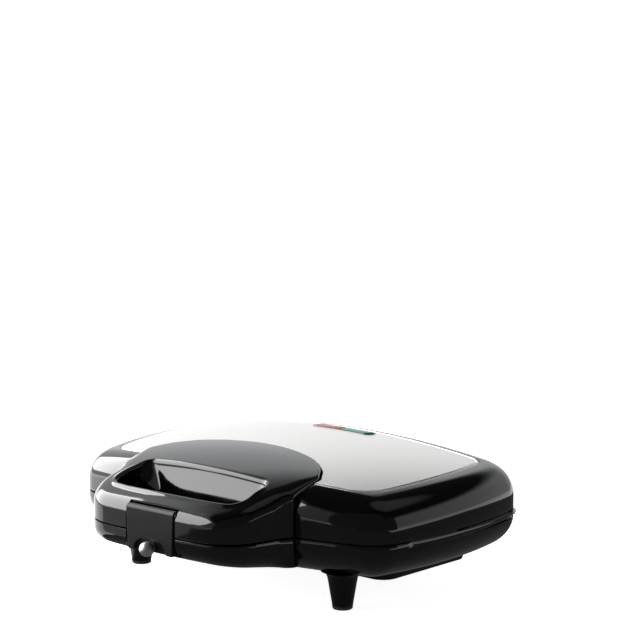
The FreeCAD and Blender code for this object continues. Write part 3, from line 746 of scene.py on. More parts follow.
# --- Housings ------------------------------------------------------------------------
@dataclass
class Housing:
    """What the two housings share: outline, notch and side strips."""

    wall: float = 2.5
    strip_depth: float = 1.8
    strip_front_y: float = -19.5
    strip_rear_y: float = 80.0
    strip_fade: float = 4.0
    strip_inner_x: float = 60.0
    order: list[int] = field(init=False)
    plan: Plan = field(init=False)
    normals: Plan = field(init=False)
    inside_notch: np.ndarray = field(init=False)

    def __post_init__(self) -> None:
        """Sample the outline, with a doubled point at each side of the notch."""
        plan, normals = OUTLINE.sample()
        right = int(np.argmax(plan[:, 0] > NOTCH_X))
        self.order = sorted([*range(len(plan)), right, len(plan) - right])
        self.plan, self.normals = plan[self.order], normals[self.order]
        left = len(self.plan) - right
        self.plan[[right, right + 1], 0] = NOTCH_X
        self.plan[[left - 1, left], 0] = -NOTCH_X
        self.inside_notch = np.zeros(len(self.plan), dtype=bool)
        self.inside_notch[:right + 1] = True
        self.inside_notch[left:] = True

    def strip(self) -> np.ndarray:
        """Work out how deep the side strip is cut.

        Returns:
            One depth for each point of the outline.
        """
        y = self.plan[:, 1]
        along = np.clip((y - self.strip_front_y) / self.strip_fade, 0, 1)
        along *= np.clip((self.strip_rear_y - y) / self.strip_fade, 0, 1)
        return along * (np.abs(self.plan[:, 0]) > self.strip_inner_x) * self.strip_depth

    def ring(self, inset: Numbers, z: Numbers, notch_inset: float = 0.0) -> Ring:
        """Return a ring of the outline moved inwards.

        Args:
            inset: How far in, one number or one per point.
            z: The height, one number or one per point.
            notch_inset: How far the notch's walls are moved inwards.

        Returns:
            The ring.
        """
        inset = np.broadcast_to(inset, (len(self.plan),))
        return self.clear_notch(at(self.plan - self.normals * inset[:, None], z), notch_inset)

    def clear_notch(self, ring: Ring, notch_inset: float) -> Ring:
        """Push the part of a ring that lies in the handle's notch behind its rear wall.

        Args:
            ring: The ring.
            notch_inset: How far the notch's walls are moved inwards.

        Returns:
            The changed ring.
        """
        ring = ring.copy()
        wall_y = NOTCH_Y + notch_inset
        ring[self.inside_notch & (ring[:, 1] < wall_y), 1] = wall_y
        return ring


@dataclass
class UpperHousing(Housing):
    """The domed shell of the lid."""

    shoulder: float = 18.0
    strip_top: float = 45.3
    pocket: BodyOutline = OUTLINE.inset(15.5, 19.5, (18.5, 10.5))
    pocket_depth: float = 0.75
    pocket_ledge: float = 5.0

    def shoulder_rings(self, wall: float, steps: int) -> list[Ring]:
        """Return the rings of the rolled shoulder between wall and dome.

        Args:
            wall: Wall thickness; 0 gives the outer surface.
            steps: Steps across the shoulder.

        Returns:
            The rings, from the wall to the dome.
        """
        middle = self.plan - self.normals * self.shoulder
        ball = DOME.ring(middle, -self.shoulder)
        outward = at(self.normals, 0.0)
        upward = ball - DOME.centre
        upward /= np.linalg.norm(upward, axis=1)[:, None]
        radius = self.shoulder - wall
        return [self.clear_notch(ball + radius * slerp(outward, upward, t), wall)
                for t in np.linspace(0, 1, steps + 1)]

    def build(self) -> None:
        """Make the shell."""
        strip, low, high = self.strip(), SEAM_HIGH, self.strip_top
        profile = ((strip + 0.5, low), (strip + 0.15, low + 0.12), (strip, low + 0.5), (strip, high - 0.2),
                   (strip * 0.9, high), (strip * 0.08, high), (0.0, high + 0.25), (0.0, high + 2.0))
        rings = [self.ring(inset, z) for inset, z in profile] + self.shoulder_rings(0.0, 22)
        shoulder = rings[-1][:, :2]
        pocket = self.pocket.sample()[0][self.order]
        rings += [DOME.ring(blend(shoulder, pocket, t)) for t in (0.3, 0.65, 0.93)]
        edge = DOME.ring(pocket)
        rings += [edge - [0, 0, 0.15], edge - [0, 0, self.pocket_depth]]
        inner = pocket - pocket / np.linalg.norm(pocket, axis=1)[:, None] * self.pocket_ledge
        rings += [DOME.ring(inner, -self.pocket_depth), DOME.ring(inner, -self.wall)]
        rings += self.shoulder_rings(self.wall, 6)[::-1]
        rings.append(self.ring(self.wall, SEAM_HIGH, self.wall))
        dress(lofted("upper_housing_shell", rings, True), Finish.PIANO_BLACK, Body.LID, "black_gloss",
              "upper_housing")


@dataclass
class LowerHousing(Housing):
    """The belly shell of the base."""

    bottom_z: float = 20.3
    belly: float = 20.0
    belly_width: float = 27.0
    strip_bottom: float = 39.6

    def build(self) -> None:
        """Make the shell."""
        strip, low, high = self.strip(), self.strip_bottom, SEAM_LOW
        rings = [self.ring(60.0, self.bottom_z), self.ring(36.0, self.bottom_z)]
        for turn in np.radians(np.linspace(0, 84, 18)):
            rings.append(self.ring(self.belly_width * (1 - math.sin(turn)),
                                   self.bottom_z + self.belly * (1 - math.cos(turn))))
        outside = ((strip * 0.07, low - 0.2), (strip * 0.9, low), (strip, low + 0.2), (strip, high - 0.5),
                   (strip + 0.15, high - 0.12), (strip + 0.5, high))
        rings += [self.ring(inset, z) for inset, z in outside]
        rim, floor = self.wall + strip * 0.3, self.bottom_z + self.wall
        inside = ((rim, high), (rim, high - 8.0), (24.0, floor), (60.0, floor))
        rings += [self.ring(inset, z, self.wall) for inset, z in inside]
        dress(lofted("lower_housing_shell", rings, False), Finish.PIANO_BLACK, Body.BASE, "black_gloss",
              "lower_housing")


@dataclass
class SideLips:
    """The thin lips that stand out of the seam near the rear corners."""

    start_y: float = 22.0
    peak_y: float = 76.0
    end_y: float = 88.0
    reach: float = 2.3
    depth: float = 3.2
    widest: float = 125.6

    def build(self) -> None:
        """Make the lip on each side."""
        plan, normals = OUTLINE.sample()
        chosen = (plan[:, 0] > 0) & (plan[:, 1] > self.start_y) & (plan[:, 1] < self.end_y)
        line, out = plan[chosen], normals[chosen]
        rise = np.clip((line[:, 1] - self.start_y) / (self.peak_y - self.start_y), 0, 1)
        fall = np.clip((self.end_y - line[:, 1]) / (self.end_y - self.peak_y), 0, 1)
        outer = line + out * (self.reach * rise**1.5 * np.sqrt(fall))[:, None]
        outer[:, 0] = np.minimum(outer[:, 0], self.widest)
        loop = np.vstack([outer, (line - out * self.depth)[::-1]])
        for side, word in ((1, "right"), (-1, "left")):
            lip = slab(f"seam_lip_{word}", loop * np.array([side, 1]), SEAM_LOW + 0.06, SEAM_HIGH - 0.1,
                       0.15, 2)
            dress(lip, Finish.PIANO_BLACK, Body.BASE, "black_gloss")


# --- Handles -------------------------------------------------------------------------
@dataclass
class Handle:
    """A handle moulding: a loop between its plan outline and the finger opening."""

    front_y: float = -98.5
    front_radius: float = 370.0
    corner_x: float = 57.4
    corner_radius: float = 24.0
    flare: tuple[Triple, Triple] = ((64.2, -60.8, 9.0), (67.2, -53.6, 0.7))
    grip_rear_y: float = -52.0
    grip_front_y: float = -83.5
    grip_rear_x: float = 46.5
    grip_front_x: float = 50.0
    grip_draft: float = 6.5
    hub: Pair = (0.0, -67.5)
    near_edges: tuple[float, ...] = (0.0, 0.06, 0.2, 0.45, 0.8, 1.25, 1.8, 2.5, 3.4, 4.6)
    middle_steps: int = 12
    inner_wall: float = 2.4
    outer_wall: float = 2.6
    recess_half: float = 19.4
    recess_back_y: float = -93.5
    liner_wall: float = 1.6
    liner_reach: float = 2.6

    def outline(self, rear: list[Triple]) -> Plan:
        """Draw the plan outline.

        Args:
            rear: The corners of the right half behind the flare, as (x, y, radius).

        Returns:
            A closed loop of points.
        """
        corners = [(x, self._front_at(x), 0.0) for x in (0.0, 10.0, 20.0, 30.0, 38.0)]
        corners.append((self.corner_x, self._front_at(self.corner_x), self.corner_radius))
        return mirrored_loop(resample(fillet_path(corners + [*self.flare] + rear, 14), 201))

    def _front_at(self, x: float) -> float:
        """Return the y of the handle's front at a given x."""
        return self.front_y + self.front_radius - math.sqrt(self.front_radius**2 - x**2)

    def grip_loop(self, rear_y: float) -> Plan:
        """Draw the finger opening.

        Args:
            rear_y: The y of its straight rear edge.

        Returns:
            A closed loop of points.
        """
        bulge = 2 * self.front_radius
        corners = [(x, self.grip_front_y + x**2 / bulge, 0.0) for x in (0.0, 12.0, 24.0, 32.0)]
        corners += [(self.grip_front_x, self.grip_front_y + self.grip_front_x**2 / bulge + 0.8, 9.0),
                    (self.grip_rear_x, rear_y, 5.5), (30.0, rear_y, 0.0), (0.0, rear_y, 0.0)]
        return mirrored_loop(resample(fillet_path(corners), 240))

    def match_grip(self, outer: Plan, loop: Plan) -> Plan:
        """Find the opening's point in the direction of each outline point.

        Args:
            outer: The outline's points.
            loop: The opening's outline.

        Returns:
            One point on the opening for each outline point.
        """
        hub, full = np.array(self.hub), 2 * math.pi
        angles = np.mod(np.arctan2(*(loop - hub).T[::-1]), full)
        wanted = np.arctan2(*(outer - hub).T[::-1])
        order = np.argsort(angles)
        grid = np.concatenate([angles[order] - full, angles[order], angles[order] + full])
        reach = np.interp(np.mod(wanted, full), grid, np.tile(np.hypot(*(loop - hub).T)[order], 3))
        return hub + np.column_stack([np.cos(wanted), np.sin(wanted)]) * reach[:, None]

    def inwards(self, outer: Plan, inner: Plan) -> Plan:
        """Return the unit direction from each outline point to its point on the opening."""
        return (inner - outer) / np.hypot(*(inner - outer).T)[:, None]

    def span_rings(self, outer: Plan, inner: Plan) -> list[Plan]:
        """Fill the space from the outline to the opening.

        Args:
            outer: The outline's points.
            inner: The opening's points.

        Returns:
            Plan rings, close together at both edges.
        """
        unit = self.inwards(outer, inner)
        first = [outer + unit * step for step in self.near_edges]
        last = [inner - unit * step for step in self.near_edges[::-1]]
        ratios = np.linspace(0, 1, self.middle_steps + 2)[1:-1]
        return first + [blend(first[-1], last[0], t) for t in ratios] + last

    def finish(self, word: str, body: Body, rings: list[Ring], cut: Pair, liner: Pair) -> None:
        """Make the moulding, cut its latch recess and line it.

        Args:
            word: Which handle it is, upper or lower.
            body: The body that it rides on.
            rings: The moulding's rings.
            cut: Lower and upper limits of the recess.
            liner: Lower and upper limits of the liner.
        """
        obj = lofted(f"{word}_handle_moulding", rings, True, 32.0)
        half, back, wall = self.recess_half, self.recess_back_y, self.liner_wall
        block = np.array([(-half, -120.0), (half, -120.0), (half, back), (-half, back)])
        carve(obj, slab("recess_cutter", block, *cut), 32.0)
        dress(obj, Finish.PIANO_BLACK, body, "black_gloss", f"{word}_handle")
        front = back - self.liner_reach
        right = [(half, back), (half, front), (half + wall, front), (half + wall, back + wall)]
        loop = np.array([(-x, y) for x, y in right[::-1]] + right)
        dress(slab(f"{word}_latch_recess", loop, *liner, 0.25, 2), Finish.PIANO_BLACK, body, "black_gloss")


@dataclass
class UpperHandle(Handle):
    """The upper handle and the pod that runs onto the lid."""

    pod_corners: tuple[Triple, ...] = ((66.9, NOTCH_Y, 0.0), (66.4, -31.5, 6.5), (57.6, -19.6, 30.0))
    pod_rear_x: float = 46.0
    pod_rear_radius: float = 100.0
    pod_set_back: float = 0.7
    skirt_z: float = 63.5
    stations: tuple[float, ...] = (-99.0, -88.0, -77.0, -65.0, -60.0, -52.0, -44.0, -36.0, -30.0, 0.0)
    facet_depths: tuple[float, ...] = (0.0, 0.5, 0.9, 2.4, 2.0, 1.5, 0.9, 0.3, 0.0, 0.0)
    facet_widths: tuple[float, ...] = (5.0, 6.5, 8.5, 9.5, 9.5, 9.0, 6.5, 4.0, 3.0, 3.0)
    edge_rounds: tuple[float, ...] = (5.2, 5.2, 5.2, 4.8, 4.0, 2.8, 2.0, 1.4, 1.1, 1.1)
    bead_height: float = 0.7
    rear_lip: float = 2.4
    front_lip: float = 1.3
    ceiling: float = 9.0

    def pod_outline(self) -> Plan:
        """Return the outline of handle and pod as a closed loop."""
        rear = [(x, -x**2 / (2 * self.pod_rear_radius), 0.0) for x in np.linspace(self.pod_rear_x, 0.0, 9)]
        return self.outline([*self.pod_corners, *rear])

    def top(self, plan: Plan, outline: Plan, grip: Plan) -> np.ndarray:
        """Return the moulding's height over plan points.

        Args:
            plan: The points.
            outline: The outer outline.
            grip: The finger opening's outline.

        Returns:
            One height per point.
        """
        y, edge, inner = plan[:, 1], distance_to(outline, plan), distance_to(grip, plan)
        depth, width, radius = (np.interp(y, self.stations, values)
                                for values in (self.facet_depths, self.facet_widths, self.edge_rounds))
        height = CROWN.height(plan) - depth * near(edge, width)**1.6 - rounding(radius, near(edge, radius))
        front = np.clip((-58.0 - y) / 8.0, 0, 1)
        height += self.bead_height * front * np.exp(-((inner - 2.0) / 1.3)**2)
        lip = self.front_lip * front + self.rear_lip * (1 - front)
        return height - rounding(lip, near(inner, lip))

    def build(self) -> None:
        """Make the moulding and its latch recess."""
        outer = self.pod_outline()
        grip = self.grip_loop(self.grip_rear_y)
        inner = self.match_grip(outer, grip)
        low_inner = self.match_grip(outer, self.grip_loop(self.grip_rear_y - self.grip_draft))
        tops = [at(ring, self.top(ring, outer, grip)) for ring in self.span_rings(outer, inner)]
        crest, brink = tops[0][:, 2], tops[-1][:, 2]
        on_lid = outer[:, 1] > NOTCH_Y - 0.3
        floor = np.where(on_lid, self.skirt_z, SEAM_HIGH)
        unit = self.inwards(outer, inner)
        foot = outer + unit * np.where(on_lid, self.pod_set_back, 0.0)[:, None]
        shadow = np.where(on_lid, np.minimum(DOME.height(outer) + 0.5, crest - 0.5), floor + 0.8)
        walls = [at(foot + unit * 0.4, floor), at(foot, floor + 0.4), at(foot, shadow),
                 at(outer, shadow + 0.1)]
        walls += [at(outer, blend(shadow + 0.1, crest, t)) for t in (0.2, 0.4, 0.6, 0.8, 0.93)]
        bores = [at(blend(inner, low_inner, t), blend(brink, SEAM_HIGH, t))
                 for t in (0.04, 0.15, 0.3, 0.45, 0.6, 0.75, 0.9, 0.985)]
        groove_in, groove_out = low_inner - unit * self.inner_wall, outer + unit * self.outer_wall
        roof = SEAM_HIGH + self.ceiling
        closing = [at(low_inner - unit * 0.4, SEAM_HIGH), at(groove_in, SEAM_HIGH), at(groove_in, roof),
                   at(groove_out, np.maximum(np.minimum(crest - 3.0, roof), floor + 2.0)),
                   at(groove_out, floor)]
        self.finish("upper", Body.LID, walls + tops + bores + closing, (30.0, 63.0), (SEAM_HIGH, 54.0))


@dataclass
class LowerHandle(Handle):
    """The lower handle, whose underside rises towards its front."""

    nose_z: float = 31.0
    heel_z: float = 24.3
    belly_depth: float = 8.0
    belly_width: float = 10.0
    lip: float = 1.5
    ceiling: float = 5.0
    recess_back_y: float = -93.9

    def underside(self, plan: Plan, outline: Plan, grip: Plan) -> np.ndarray:
        """Return the height of the underside at plan points.

        Args:
            plan: The points.
            outline: The outer outline.
            grip: The finger opening's outline.

        Returns:
            One height per point.
        """
        fall = (self.nose_z - self.heel_z) / (NOTCH_Y - self.front_y)
        height = self.nose_z - fall * (plan[:, 1] - self.front_y)
        edge = distance_to(outline[outline[:, 1] < NOTCH_Y - 0.4], plan)
        rear = np.clip((NOTCH_Y - 4 - plan[:, 1]) / 10, 0.25, 1)
        height = height + rounding(self.belly_depth * rear, near(edge, self.belly_width))
        return height + rounding(self.lip, near(distance_to(grip, plan), self.lip))

    def build(self) -> None:
        """Make the moulding and its latch recess."""
        outer = self.outline([(67.0, NOTCH_Y - 0.2, 0.3), (0.0, NOTCH_Y - 0.2, 0.0)])
        grip = self.grip_loop(self.grip_rear_y - self.grip_draft)
        inner = self.match_grip(outer, grip)
        under = [at(ring, self.underside(ring, outer, grip)) for ring in self.span_rings(outer, inner)]
        crest, brink = under[0][:, 2], under[-1][:, 2]
        unit, rim = self.inwards(outer, inner), SEAM_LOW
        walls = [at(outer + unit * 0.4, rim), at(outer + unit * 0.1, rim - 0.1), at(outer, rim - 0.4)]
        walls += [at(outer, blend(rim - 0.4, crest, t)) for t in (0.3, 0.6, 0.85)]
        bores = [at(inner, blend(brink, rim, t)) for t in (0.2, 0.5, 0.8, 0.97)]
        groove_in, groove_out = inner - unit * self.inner_wall, outer + unit * self.outer_wall
        roof = rim - self.ceiling
        closing = [at(inner - unit * 0.4, rim), at(groove_in, rim), at(groove_in, roof),
                   at(groove_out, roof), at(groove_out, rim)]
        self.finish("lower", Body.BASE, walls + under + bores + closing, (10.0, 60.0),
                    (self.nose_z + 1.2, SEAM_LOW))


# --- Cover and lamps -----------------------------------------------------------------
@dataclass
class Cover:
    """The stainless sheet on the lid, with a rolled rim."""

    outline: BodyOutline = OUTLINE.inset(16.0, 20.0, (18.0, 10.0))
    proud: float = 0.35
    thickness: float = 0.9
    roll: float = 1.3
    roll_height: float = 0.75
    groove: tuple[Pair, ...] = ((0.0, 0.0), (0.12, 0.28), (0.5, 0.28), (0.62, 0.0))
    gap: float = 1.0
    middle: Pair = (0.0, 24.0)

    def build(self) -> None:
        """Make the sheet and cut it round the pod and the lamps."""
        plan, normals = self.outline.sample()
        middle = np.array(self.middle)
        start = plan - normals * (self.roll + 0.2)
        under = self.proud - self.thickness
        rings = [DOME.ring(blend(start, middle, t), under) for t in (0.985, 0.9, 0.6, 0.3, 0.0)]
        rings.append(DOME.ring(plan, under))
        for turn in np.radians(np.linspace(0, 90, 10)):
            flat = plan - normals * self.roll * (1 - math.cos(turn))
            rings.append(DOME.ring(flat, self.proud - self.roll_height * (1 - math.sin(turn))))
        rings += [DOME.ring(start - normals * step, self.proud - drop) for step, drop in self.groove]
        rings += [DOME.ring(blend(start, middle, t), self.proud) for t in np.linspace(0.02, 0.985, 30)]
        obj = lofted("stainless_cover_sheet", rings, False, 30.0)
        pod = UpperHandle().pod_outline()
        grown = pod * (1 + np.array([self.gap / 66.0, 0.0])) + np.array([0.0, self.gap])
        carve(obj, slab("pod_cutter", grown, 50.0, 95.0), 30.0)
        carve(obj, slab("lamp_cutter", stadium(23.7, 4.7, Indicator.y), 60.0, 95.0), 30.0)
        dress(obj, Finish.BRUSHED, Body.LID, "stainless", "stainless_cover")


@dataclass
class Indicator:
    """The bezel and its two lenses."""

    y: float = 67.0
    half: float = 23.5
    radius: float = 4.5
    lip: float = 1.35
    play: float = 0.05
    web: float = 0.2
    lens_profile: tuple[Pair, ...] = ((1.0, -4.0), (1.0, 0.75), (0.985, 0.98), (0.95, 1.1), (0.85, 1.18),
                                      (0.6, 1.24), (0.3, 1.27))

    def build(self) -> None:
        """Make the bezel and the lenses."""
        profile = ((0.0, -6.0), (0.0, 0.55), (0.12, 0.8), (0.35, 0.92), (self.lip - 0.35, 0.92),
                   (self.lip - 0.12, 0.84), (self.lip, 0.5), (self.lip, -6.0))
        height = DOME.height(stadium(self.half, self.radius, self.y))
        rings = [at(stadium(self.half - inset, self.radius - inset, self.y), height + lift)
                 for inset, lift in profile]
        dress(lofted("indicator_bezel_ring", rings, True, 40.0), Finish.PIANO_BLACK, Body.LID,
              "black_gloss", "indicator_bezel")
        inset = self.lip + self.play
        window = stadium(self.half - inset, self.radius - inset, self.y)
        for side, finish, slot in ((-1, Finish.RED_LENS, "red_lens"), (1, Finish.GREEN_LENS, "green_lens")):
            reach = (self.radius - inset) * side
            ends = np.array([(side * self.web, self.y + reach), (side * self.web, self.y - reach)])
            loop = np.vstack([window[window[:, 0] * side > 0], ends])
            centre = loop.mean(axis=0)
            rings = [DOME.ring(centre + (loop - centre) * scale) + [0, 0, lift]
                     for scale, lift in self.lens_profile]
            dress(lofted(f"{slot}_window", rings, False, 50.0), finish, Body.LID, slot, slot)


# --- Latch ---------------------------------------------------------------------------
@dataclass
class Latch:
    """The latch plate with its arch, the ball on it and the pin that it turns on."""

    top_half: float = 18.6
    bottom_half: float = 17.2
    top_z: float = 57.8
    bottom_z: float = 32.2
    face_y: float = -98.7
    thickness: float = 3.5
    top_round: float = 2.4
    arch_half: float = 12.6
    arch_height: float = 6.8
    arch_depth: float = 2.3
    ball: Triple = (0.0, -100.8, 34.6)
    ball_radius: float = 4.3
    collar: tuple[Pair, Pair] = ((2.4, 3.9), (2.4, 5.0))
    pin: Triple = (0.0, -96.9, 55.6)
    pin_half: tuple[Pair, ...] = ((0.3, 19.3), (0.62, 19.18), (0.8, 18.8))

    def build(self) -> None:
        """Make the plate, the ball and the pin."""
        self._plate()
        self._knob()
        ends = list(self.pin_half)
        profile = [(r, -x) for r, x in ends] + [(ends[-1][0], 0.0)] + ends[::-1]
        dress(turned("latch_pivot_pin", profile, self.pin, "yzx", 32, 60.0), Finish.ZINC, Body.LID,
              "plain_steel", "latch_pin")

    def _plate(self) -> None:
        """Make the plate: a profile with a rounded top, drawn across and cut by the arch."""
        radius, back_y = self.top_round, self.face_y + self.thickness
        profile = [(self.face_y, self.bottom_z)]
        for turn in np.linspace(0, math.pi / 2, 9):
            profile.append((self.face_y + radius * (1 - math.cos(turn)),
                            self.top_z - radius * (1 - math.sin(turn))))
        profile += [(back_y, self.top_z), (back_y, self.bottom_z)]
        limits, halves = (self.bottom_z, self.top_z), (self.bottom_half, self.top_half)
        plate = prism("latch_plate_cover", [
            np.array([(side * np.interp(z, limits, halves), y, z) for y, z in profile]) for side in (-1, 1)])
        carve(plate, self._arch_cutter())
        round_edges(plate, 0.45, 3)
        dress(plate, Finish.LATCH_BLACK, Body.LATCH, "black_gloss", "latch_plate")

    def _arch_cutter(self) -> Object:
        """Make the block that cuts the arch under the ball.

        Returns:
            The block.
        """
        flat, low = self.arch_half - self.arch_height, self.bottom_z - 5.0
        right = [(self.arch_half, low)]
        for turn in np.linspace(0, math.pi / 2, 12):
            right.append((flat + self.arch_height * math.cos(turn),
                          self.bottom_z + self.arch_height * math.sin(turn)))
        line = right + [(-x, z) for x, z in right[::-1]]
        return prism("arch_cutter", [np.array([(x, y, z) for x, z in line])
                                     for y in (self.face_y - 3.0, self.face_y + self.arch_depth)])

    def _knob(self) -> None:
        """Make the ball on its collar."""
        radius, steps = self.ball_radius, 28
        profile = [(0.01, -radius)]
        for turn in (math.pi * k / steps for k in range(1, steps)):
            if math.cos(turn) > -0.86:
                profile.append((radius * math.sin(turn), -radius * math.cos(turn)))
        dress(turned("latch_ball", profile + [*self.collar], self.ball, "xzy", 56, 60.0), Finish.CHROME,
              Body.LATCH, "chrome", "latch_knob")


# --- Underside -----------------------------------------------------------------------
@dataclass
class Feet:
    """The four feet with their rubber pads."""

    front: Pair = (80.0, -26.9)
    rear: Pair = (45.0, 74.5)
    front_profile: tuple[Pair, ...] = ((5.5, 1.6), (5.9, 2.0), (6.15, 4.0), (7.0, 9.0), (8.1, 15.5),
                                       (8.7, 18.6), (9.4, 20.2), (10.6, 21.2), (12.2, 21.8))
    rear_profile: tuple[Pair, ...] = ((5.4, 1.6), (5.9, 2.1), (5.9, 6.0), (6.7, 12.0), (7.3, 13.9),
                                      (7.3, 14.6))
    pad_profile: tuple[Pair, ...] = ((4.5, 0.0), (5.2, 0.1), (5.65, 0.45), (5.8, 1.0), (5.8, 1.9))

    def build(self) -> None:
        """Make every foot and pad."""
        ends = (("front", self.front, self.front_profile), ("rear", self.rear, self.rear_profile))
        for side, word in ((-1, "left"), (1, "right")):
            for end, (x, y), profile in ends:
                foot = turned(f"{end}_foot_cone_{word}", profile, (side * x, y, 0.0))
                dress(foot, Finish.FOOT_BLACK, Body.BASE, "black_matte", f"{end}_foot_{word}")
            for end, (x, y), _ in ends:
                pad = turned(f"{end}_pad_disc_{word}", self.pad_profile, (side * x, y, 0.0))
                dress(pad, Finish.PAD_RUBBER, Body.BASE, "foot_rubber", f"{end}_pad_{word}")


@dataclass
class Tray:
    """The shallow tray under the body."""

    top_z: float = 20.4
    half: float = 96.5
    front_y: float = -8.5
    rear_y: float = 76.5
    middle: Pair = (0.0, 34.0)
    edge: tuple[Pair, ...] = ((40.0, 14.0), (5.0, 14.0), (2.0, 14.05), (1.0, 14.4), (0.4, 15.0),
                              (0.15, 16.0), (0.0, 18.0))

    def build(self) -> None:
        """Make the tray with a rounded lower edge."""
        corners = [(0.0, self.front_y, 0.0), (self.half, self.front_y, 9.0),
                   (self.half, self.rear_y - 15, 4.0), (self.half - 13, self.rear_y, 4.0),
                   (0.0, self.rear_y, 0.0)]
        loop = mirrored_loop(resample(fillet_path(corners), 140))
        away = loop - np.array(self.middle)
        away /= np.hypot(*away.T)[:, None]
        rings = [at(loop - away * inset, z) for inset, z in (*self.edge, (0.0, self.top_z))]
        dress(lofted("bottom_tray_shell", rings, False, 40.0), Finish.FOOT_BLACK, Body.BASE, "black_matte",
              "bottom_tray")


# --- Carried-over parts --------------------------------------------------------------
CARRIED = {
    Finish.NON_STICK: ("cooking_plate",),
    Finish.SHEATH: ("heating_element", "thermal_fuse"),
    Finish.REFLECTOR: ("reflector", "lamp_left", "lamp_right"),
    Finish.ZINC: ("screw", "hinge", "latch_pin", "latch_spring", "latch_catch"),
    Finish.CERAMIC: ("terminal_block", "thermostat"),
    Finish.BOARD: ("lamp_board",),
    Finish.FOOT_BLACK: ("cord_bush",),
}


def dress_carried_nodes() -> None:
    """Give every CAD node its finish; those that a piece stands for stay hidden."""
    for name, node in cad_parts.items():
        finish = Finish.PIANO_BLACK
        for option, words in CARRIED.items():
            if any(word in name for word in words):
                finish = option
        node.data.materials.clear()
        node.data.materials.append(finish.material())
        LOG.info("%s keeps its CAD shape in %s", name, finish.value.name)


# --- Studio --------------------------------------------------------------------------
@dataclass(frozen=True)
class Softbox:
    """A rectangular light that points at the appliance."""

    name: str
    place: Triple
    size: Pair
    power: float
    target: Triple = (0.0, -40.0, 60.0)

    def hang(self) -> None:
        """Make the light."""
        data = bpy.data.lights.new(self.name, "AREA")
        data.shape = "RECTANGLE"
        data.size, data.size_y = (side * MM for side in self.size)
        data.energy = self.power
        light = bpy.data.objects.new(self.name, data)
        light.location = Vector(self.place) * MM
        aim = (Vector(self.target) - Vector(self.place)).normalized()
        light.rotation_euler = aim.to_track_quat("-Z", "Y").to_euler()
        bpy.context.scene.collection.objects.link(light)


@dataclass(frozen=True)
class Card:
    """A flat shape that only reflections see: a mat on the floor or a standing flag."""

    name: str
    outline: tuple[Pair, ...]
    z: Pair
    level: float

    def place(self) -> None:
        """Make the card."""
        card = slab(self.name, np.array(self.outline), *self.z)
        book = NodeBook(f"{self.name}_glow")
        book.set(Base_Color=(0.001, 0.001, 0.001, 1), Roughness=1.0, Specular_IOR_Level=0.0,
                 Emission_Color=(0.97, 0.98, 1.0, 1), Emission_Strength=self.level)
        card.data.materials.append(book.material)
        for ray in ("camera", "diffuse", "shadow", "transmission"):
            setattr(card, f"visible_{ray}", False)


def flag_outline(x0: float, y0: float, x1: float, y1: float) -> tuple[Pair, ...]:
    """Return the footprint of a thin flag between two points."""
    return (x0, y0), (x1, y1), (x1 + 5, y1 - 5), (x0 + 5, y0 - 5)


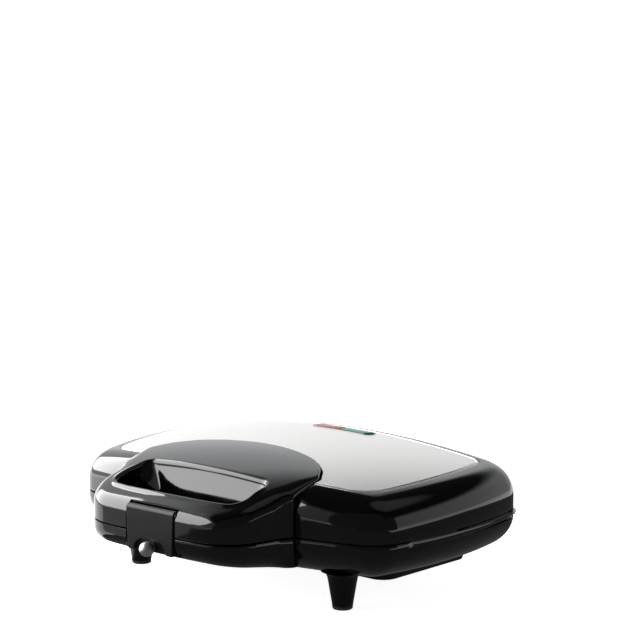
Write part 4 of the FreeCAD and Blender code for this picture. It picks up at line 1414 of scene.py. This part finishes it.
@dataclass
class Studio:
    """Floor, lights, cards and camera."""

    camera_place: Triple = (915.5, -996.7, 347.1)
    yaw: float = 41.31
    tilt: float = 8.19
    lens: float = 132.5
    floor_half: float = 60000.0
    sky: bpy.types.NodeTree = field(init=False)
    cards: tuple[Card, ...] = (
        Card("dark_mat", ((-90.0, 400.0), (-90.0, -270.0), (-60.0, -330.0), (-40.0, -800.0),
                          (800.0, -800.0), (900.0, -160.0), (430.0, -20.0), (430.0, 400.0)),
             (0.2, 0.6), 0.12),
        Card("left_mat", ((-90.0, -130.0), (-1450.0, -760.0), (-1000.0, -1600.0), (-200.0, -1600.0),
                          (-40.0, -800.0), (-60.0, -330.0), (-90.0, -270.0)), (0.1, 0.15), 0.7),
        Card("front_flag", flag_outline(-30.0, -800.0, 782.0, -166.0), (0.0, 900.0), 0.08),
        Card("side_flag", flag_outline(782.0, -166.0, 773.0, 207.0), (0.0, 560.0), 0.08))
    softboxes: tuple[Softbox, ...] = (
        Softbox("key", (-1593.0, -743.0, 954.0), (2800.0, 1575.0), 94.0),
        Softbox("side", (-1790.0, 720.0, 140.0), (890.0, 600.0), 2.2))

    def build(self) -> None:
        """Make the whole set."""
        self._camera()
        self._floor()
        for card in self.cards:
            card.place()
        self._world()
        for softbox in self.softboxes:
            softbox.hang()
        bpy.context.scene.view_settings.view_transform = "Standard"

    def _camera(self) -> None:
        """Place the camera."""
        data = bpy.data.cameras.new("camera")
        data.lens = self.lens
        data.sensor_width = 36.0
        data.clip_end = 100.0
        camera = bpy.data.objects.new("camera", data)
        camera.location = Vector(self.camera_place) * MM
        camera.rotation_euler = (math.radians(90 - self.tilt), 0.0, math.radians(self.yaw))
        bpy.context.scene.collection.objects.link(camera)
        bpy.context.scene.camera = camera

    def _floor(self) -> None:
        """Lay a plain white floor."""
        reach = self.floor_half
        outline = np.array([(-reach, -reach), (reach, -reach), (reach, reach), (-reach, reach)])
        floor = slab("floor", outline, -20.0, 0.0)
        book = NodeBook("white_floor")
        book.set(Base_Color=(0.9, 0.9, 0.9, 1), Roughness=0.9, Specular_IOR_Level=0.0,
                 Emission_Color=(1, 1, 1, 1), Emission_Strength=0.9)
        floor.data.materials.append(book.material)

    def _world(self) -> None:
        """Light the set like a tent: pale round the horizon, dark above, with a soft top light."""
        world = bpy.data.worlds.new("studio")
        bpy.context.scene.world = world
        world.use_nodes = True
        self.sky = world.node_tree
        coords = add_node(self.sky, "TexCoord", "Generated", {})
        x, y, z = add_node(self.sky, "SeparateXYZ", "X", {"Vector": coords}).node.outputs
        leftness = self._math("MAXIMUM", self._math("MULTIPLY", x, -1.0), 0.0)
        rearness = self._math("MAXIMUM", y, 0.0)
        rear_left = self._math("MULTIPLY", self._math("MULTIPLY", leftness, rearness), 0.85)
        raised = self._math("SUBTRACT", z, self._math("MULTIPLY", leftness, 0.62))
        horizon = self._ramp(self._math("ADD", raised, rear_left), (0.42, 0.56), (1.0, 0.03))
        around = self._ramp(self._dot(coords, (0.545, -0.839, 0.0)), (-0.1, 0.75), (1.0, 0.45))
        boost = self._math("ADD", self._math("MULTIPLY", leftness, 0.45), 0.85)
        band = self._math("MULTIPLY", self._math("MULTIPLY", horizon, around), boost)
        top = self._ramp(self._dot(coords, (0.171, 0.296, 0.94)), (0.90, 0.96), (0.0, 0.3))
        background = self.sky.nodes["Background"]
        background.inputs["Color"].default_value = (0.97, 0.985, 1.0, 1)
        self.sky.links.new(self._math("ADD", band, top), background.inputs["Strength"])

    def _math(self, operation: str, first: Socket, second: Socket | float) -> Socket:
        """Return the result of a math node in the sky."""
        return add_node(self.sky, "Math", "Value", {0: first, 1: second}, operation=operation)

    def _dot(self, vector: Socket, axis: Triple) -> Socket:
        """Return how far a direction in the sky points along an axis."""
        return add_node(self.sky, "VectorMath", "Value", {0: vector, 1: axis}, operation="DOT_PRODUCT")

    def _ramp(self, value: Socket, ends: Pair, levels: Pair) -> Socket:
        """Step smoothly from one level to another.

        Args:
            value: The value that drives the step.
            ends: Where the step starts and ends.
            levels: The levels before and after it.

        Returns:
            The stepped value.
        """
        return map_range(self.sky, value, ends, levels, "SMOOTHSTEP")


def main() -> None:
    """Build every piece in order."""
    logging.basicConfig(level=logging.INFO, format="%(message)s")
    dress_carried_nodes()
    LowerHousing().build()
    UpperHousing().build()
    SideLips().build()
    LowerHandle().build()
    UpperHandle().build()
    Cover().build()
    Indicator().build()
    Latch().build()
    Feet().build()
    Tray().build()
    Studio().build()


if __name__ == "__main__":
    main()
